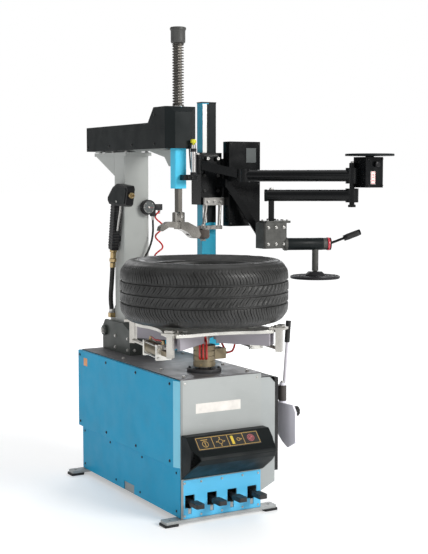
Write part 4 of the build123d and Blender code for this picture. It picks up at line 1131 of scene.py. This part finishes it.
piece_of(block_fixings, "block_fixings", "press_block", "zinc_bolt")
PRESS_START, PRESS_END = Vector((592, -35.8, 1086)), Vector((782, -112, 1086))
PRESS_WAY = (PRESS_END - PRESS_START).normalized()
turned("press_tube_collar", "press_block", "block_cast", PRESS_START + PRESS_WAY * 6, PRESS_WAY,
       [(27, 0), (30.5, 0), (30.5, 12), (29.4, 13), (27, 13)], 48)
turned("press_tube_sleeve", "press_block", "moulding_black", PRESS_START + PRESS_WAY * 18, PRESS_WAY,
       [(27, 0), (28.6, 0.4), (28.6, 168), (28.2, 168.6), (27, 168.6)], 64)
LEVER_WAY = (PRESS_END - Vector((540, -15, 1086))).normalized()
turned("press_ring", "press_lever", "ring_red", PRESS_END + LEVER_WAY * 2, LEVER_WAY,
       [(26, 0), (30.6, 0), (31, 1), (31, 9), (30.4, 10), (26, 10)], 56)
GRIP_START = PRESS_END + LEVER_WAY * 84 + Z_AXIS * 25.6
GRIP_END = PRESS_END + LEVER_WAY * 158 + Z_AXIS * 53
turned("press_lever_grip", "press_lever", "grip_black", GRIP_START, GRIP_END - GRIP_START,
       [(6, -1), (11, 0), (13.6, 5), (14.8, 20), (14.4, 40), (14.8, 58), (14.2, 72), (10, 78), (0, 79.4)], 36)


def disc_details(bm):
    """Round and radial ribs on the press disc."""
    for r in (62, 78, 94, 108):
        add_lathe(bm, (733, -92, 937.8), Z_AXIS,
                  [(r - 1.8, 0), (r - 1.2, 1.8), (r + 1.2, 1.8), (r + 1.8, 0)], 80)
    for i in range(12):
        add_box(bm, (50, -1.6, 937.6), (110, 1.6, 940.0), upright((733, -92, 0), level(30 * i)))


piece_of(disc_details, "disc_ribs", "press_disc", "disc_black")


piece_of(lambda bm: add_rod(bm, (371.4, -382.3, 498), (401, -368.4, 757.6), 6.4, 28), "breaker_handle_rod",
         "breaker_arm", "handle_steel")


def breaker_grip(bm):
    """Ribbed rubber grip drawn over the end of the breaker handle."""
    start, end = Vector((392.8, -372.4, 686)), Vector((403.3, -367.3, 778))
    length = (end - start).length
    profile = [(0.01, -0.4), (9.8, -0.4), (11.4, 1.2)]
    for k in range(9):
        rib = 8 + 9 * k
        profile += [(11.4, rib), (11.1, rib + 0.8), (11.1, rib + 2.2), (11.4, rib + 3.0)]
    profile += [(11.4, length - 1.2), (9.8, length + 0.4), (0.01, length + 0.4)]
    add_lathe(bm, start, end - start, profile, 48)


piece_of(breaker_grip, "breaker_grip", "breaker_arm", "grip_black")


def blade_knob(bm):
    """Scalloped rubber knob over the blade's round boss."""
    origin, lobes, count = Vector((377, -450, 400)), 8, 96
    rings = []
    for radius, reach in ((18, 0), (21, 0.6), (22, 3), (22, 17), (20.5, 19.6), (14, 21), (0.01, 21)):
        ring = []
        for i in range(count):
            a = 2 * math.pi * i / count
            r = radius * (1 - 0.06 * (0.5 + 0.5 * math.cos(lobes * a)) ** 2) if radius > 15 else radius
            ring.append(bm.verts.new(origin + Vector((reach, r * math.cos(a), r * math.sin(a)))))
        rings.append(ring)
    bridge(bm, rings)
    bm.faces.new(rings[0][::-1])


piece_of(blade_knob, "blade_knob", "breaker_blade", "grip_black")


# ---------------------------------------------------------------- screws, bolts and nuts
def fasten(name, body, finish, fastener, axis, size, places):
    """A piece that repeats one fastener at several places."""
    def build(bm):
        for place in places:
            fastener(bm, place, axis, size)
    piece_of(build, name, body, finish)


for row in (
    ("cover_screws", "cabinet", "black_bolt", add_screw, -X_AXIS, 6.5,
     grid(-204, (-420, -110, 190, 478), (250, 566))),
    ("lower_cover_screws", "cabinet", "black_bolt", add_screw, -X_AXIS, 5.5,
     grid(-190, (-450, -140, 180, 460), 205) + grid(-190, (-450, -120, 120, 460), 48)),
    ("plate_screws", "cabinet", "zinc_bolt", add_screw, -Y_AXIS, 5.0,
     grid((-174, -98, 0, 98, 174), -490, (34, 168))),
    ("panel_screws", "cabinet", "zinc_bolt", add_screw, -Y_AXIS, 5.0, grid((-170, 170), -486, 570)),
    ("top_bolts", "cabinet", "zinc_bolt", add_bolt, Z_AXIS, 8.0, grid((-150, 150), (-440, -240, 120), 590)),
    ("collar_screws", "cabinet", "black_bolt", add_cap_screw, Z_AXIS, 7.0,
     [table_point(30 + 60 * i, 60, 604) for i in range(6)]),
    ("pad_screws", "cabinet", "zinc_bolt", add_screw, X_AXIS, 7.0, grid(280, (-458, -352), (200, 362, 524))),
    ("side_access_screws", "cabinet", "zinc_bolt", add_screw, X_AXIS, 5.5,
     grid(190.9, (-24, 284), (86, 314))),
    ("rear_bolts", "cabinet", "zinc_bolt", add_bolt, Y_AXIS, 7.0, grid((-165, 165), 482, (60, 300, 560))),
    ("breaker_pivot_nut", "cabinet", "zinc_bolt", add_bolt, Z_AXIS, 15.0, grid(240, 430, 544)),
    ("tilt_pin_left", "cabinet", "zinc_bolt", add_bolt, -X_AXIS, 12.0, grid(-102, 440, 678)),
    ("tilt_pin_right", "cabinet", "zinc_bolt", add_bolt, X_AXIS, 12.0, grid(102, 440, 678)),
    ("base_bolts_left", "cabinet", "zinc_bolt", add_bolt, -X_AXIS, 7.0, grid(-90, (200, 330), (612, 664))),
    ("base_bolts_right", "cabinet", "zinc_bolt", add_bolt, X_AXIS, 7.0, grid(90, (200, 330), 700)),
    ("base_bolts_front", "cabinet", "zinc_bolt", add_bolt, -Y_AXIS, 7.0, grid((-66, 66), 180, (612, 680))),
    ("post_foot_bolts", "cabinet", "zinc_bolt", add_bolt, Z_AXIS, 8.0, grid((112, 176), (231, 337), 600)),
    ("head_bolts", "column", "zinc_bolt", add_bolt, Z_AXIS, 8.0, grid((-52, 52), (282, 420, 560), 1506)),
    ("union_screws", "column", "black_bolt", add_cap_screw, -Y_AXIS, 5.0, grid((54, 82), 259, 980)),
    ("arm_screws_left", "arm", "black_bolt", add_screw, -X_AXIS, 6.0,
     grid(-74, (-40, 180, 420, 660), 1536) + grid(-74, -40, 1660)),
    ("arm_screws_right", "arm", "black_bolt", add_screw, X_AXIS, 6.0,
     grid(74, (-40, 180, 420, 660), 1536) + grid(74, -40, 1660)),
    ("bracket_cap_screws", "arm", "black_bolt", add_cap_screw, -Y_AXIS, 6.0, grid((4, 22), -202, 1392)),
    ("bracket_bolt", "arm", "zinc_bolt", add_bolt, X_AXIS, 6.0, grid(50, -164, 1392)),
    ("mount_head_screw", "tool", "zinc_bolt", add_cap_screw, -Y_AXIS, 7.0, grid(0, -147, 1226)),
    ("carriage_bolts", "carriage", "black_bolt", add_bolt, -Y_AXIS, 8.0, grid((330, 404), 238, (1330, 1400))),
    ("roller_bolts", "carriage", "zinc_bolt", add_cap_screw, -Y_AXIS, 10.0, grid((340, 396), 226, 1480)),
    ("hinge_nut", "carriage", "zinc_bolt", add_bolt, Z_AXIS, 10.0, grid(262, 178, 1496)),
    ("bracket_screws", "carriage", "zinc_bolt", add_cap_screw, -Y_AXIS, 8.0,
     grid((338, 371, 404), 214, 1280)),
    ("carriage_cover_screws", "carriage", "black_bolt", add_screw, -Y_AXIS, 5.5,
     grid((440, 592), 180, (1176, 1360, 1548))),
    ("roller_nut", "carriage", "zinc_bolt", add_bolt, Z_AXIS, 9.0, grid(300, 196, 1168)),
    ("link_end_screws", "upper_link", "black_bolt", add_cap_screw, -Y_AXIS, 6.0,
     grid((884, 964), -286, (1356, 1476))),
    ("link_pivot_nut", "upper_link", "zinc_bolt", add_bolt, Z_AXIS, 9.0, grid(860, -200, 1458)),
    ("swivel_nut", "lower_link", "zinc_bolt", add_bolt, Z_AXIS, 10.0, grid(540, -15, 1337)),
    ("blade_nut", "breaker_blade", "zinc_bolt", add_bolt, Z_AXIS, 9.0, grid(356, -395, 518)),
):
    fasten(*row)


# ---------------------------------------------------------------- floor, light, camera
def floor_material():
    """Pale floor with a painted glow: it glows faintly under the machine and more strongly far from it, as a
    lit studio sweep looks.
    """
    s = Shader("studio_floor", (0.86, 0.87, 0.88), 0.6)
    s.paint(s.mixed(s.ranged(s.noise(0.7, 2), 0.0, 1.0), (0.88, 0.885, 0.89), (0.86, 0.865, 0.87)))
    s.raise_surface(s.noise(30.0, 3), 0.02, 0.001)
    reach = s.tree.nodes.new("ShaderNodeVectorMath")
    reach.operation = "LENGTH"
    s.join(s.place, reach.inputs[0])
    # Painted glow: white emission that rises with distance from the machine's middle.
    s.bsdf.inputs["Emission Color"].default_value = (1.0, 1.0, 1.0, 1.0)
    s.join(s.ranged(reach.outputs["Value"], 0.3, 0.74, 1.5, 7.0), s.bsdf.inputs["Emission Strength"])
    return s.material


def floor_sheet():
    """A round floor far larger than the view."""
    bm = bmesh.new()
    add_lathe(bm, (0, 0, 0), Z_AXIS, [(0, 0), (1.5, 0), (4, 0), (9, 0), (20, 0), (90, 0)], 96)
    mesh = mesh_of(bm, "floor_sheet", 60, 1.0)
    floor = bpy.data.objects.new("floor_sheet", mesh)
    scene.collection.objects.link(floor)
    mesh.materials.append(floor_material())
    return floor


floor_sheet()


LAMP_TARGET = Vector((0.1, -0.05, 1.0))


def area_light(name, place, size, watts, colour):
    """A rectangular lamp aimed at the middle of the machine."""
    light = bpy.data.lights.new(name, "AREA")
    light.shape = "RECTANGLE"
    light.size, light.size_y = size
    light.energy = watts
    light.color = colour
    lamp = bpy.data.objects.new(name, light)
    lamp.location = place
    lamp.rotation_euler = (Vector(place) - LAMP_TARGET).to_track_quat("Z", "Y").to_euler()
    scene.collection.objects.link(lamp)


area_light("key_light", (2.2, -5.2, 3.4), (2.2, 2.2), 265, (1.0, 0.99, 0.97))
area_light("left_fill", (-5.2, -1.6, 2.6), (2.4, 3.4), 34, (0.96, 0.98, 1.0))
area_light("top_light", (0.2, 0.4, 5.0), (4.0, 4.0), 52, (1.0, 1.0, 1.0))
area_light("rear_rim", (3.6, 4.4, 3.2), (2.4, 3.0), 70, (0.97, 0.98, 1.0))
area_light("rear_fill", (0.4, 5.6, 4.0), (2.4, 3.0), 55, (1.0, 1.0, 1.0))


def studio_world(seen=1.0, lighting=0.36):
    """White backdrop that lights the machine less than it shows, as a distant studio wall does."""
    world = bpy.data.worlds.new("studio")
    world.use_nodes = True
    tree = world.node_tree
    rays = tree.nodes.new("ShaderNodeLightPath")
    strength = tree.nodes.new("ShaderNodeMapRange")
    strength.inputs["To Min"].default_value = lighting
    strength.inputs["To Max"].default_value = seen
    tree.links.new(rays.outputs["Is Camera Ray"], strength.inputs["Value"])
    tree.links.new(strength.outputs["Result"], tree.nodes["Background"].inputs["Strength"])
    tree.nodes["Background"].inputs["Color"].default_value = (1.0, 1.0, 1.0, 1.0)
    scene.world = world


studio_world()
scene.view_settings.view_transform = "Standard"

CAMERA_PLACE, CAMERA_BACK = (-2.3614, -4.5143, 1.3949), Vector((-0.49816, -0.86283, 0.0858))
camera_data = bpy.data.cameras.new("camera")
camera_data.sensor_fit = "VERTICAL"
camera_data.sensor_height = 36.0
camera_data.lens = 75.59
camera = bpy.data.objects.new("camera", camera_data)
scene.collection.objects.link(camera)
camera.location = CAMERA_PLACE
camera.rotation_euler = CAMERA_BACK.to_track_quat("Z", "Y").to_euler()
scene.camera = camera

bpy.context.view_layer.update()
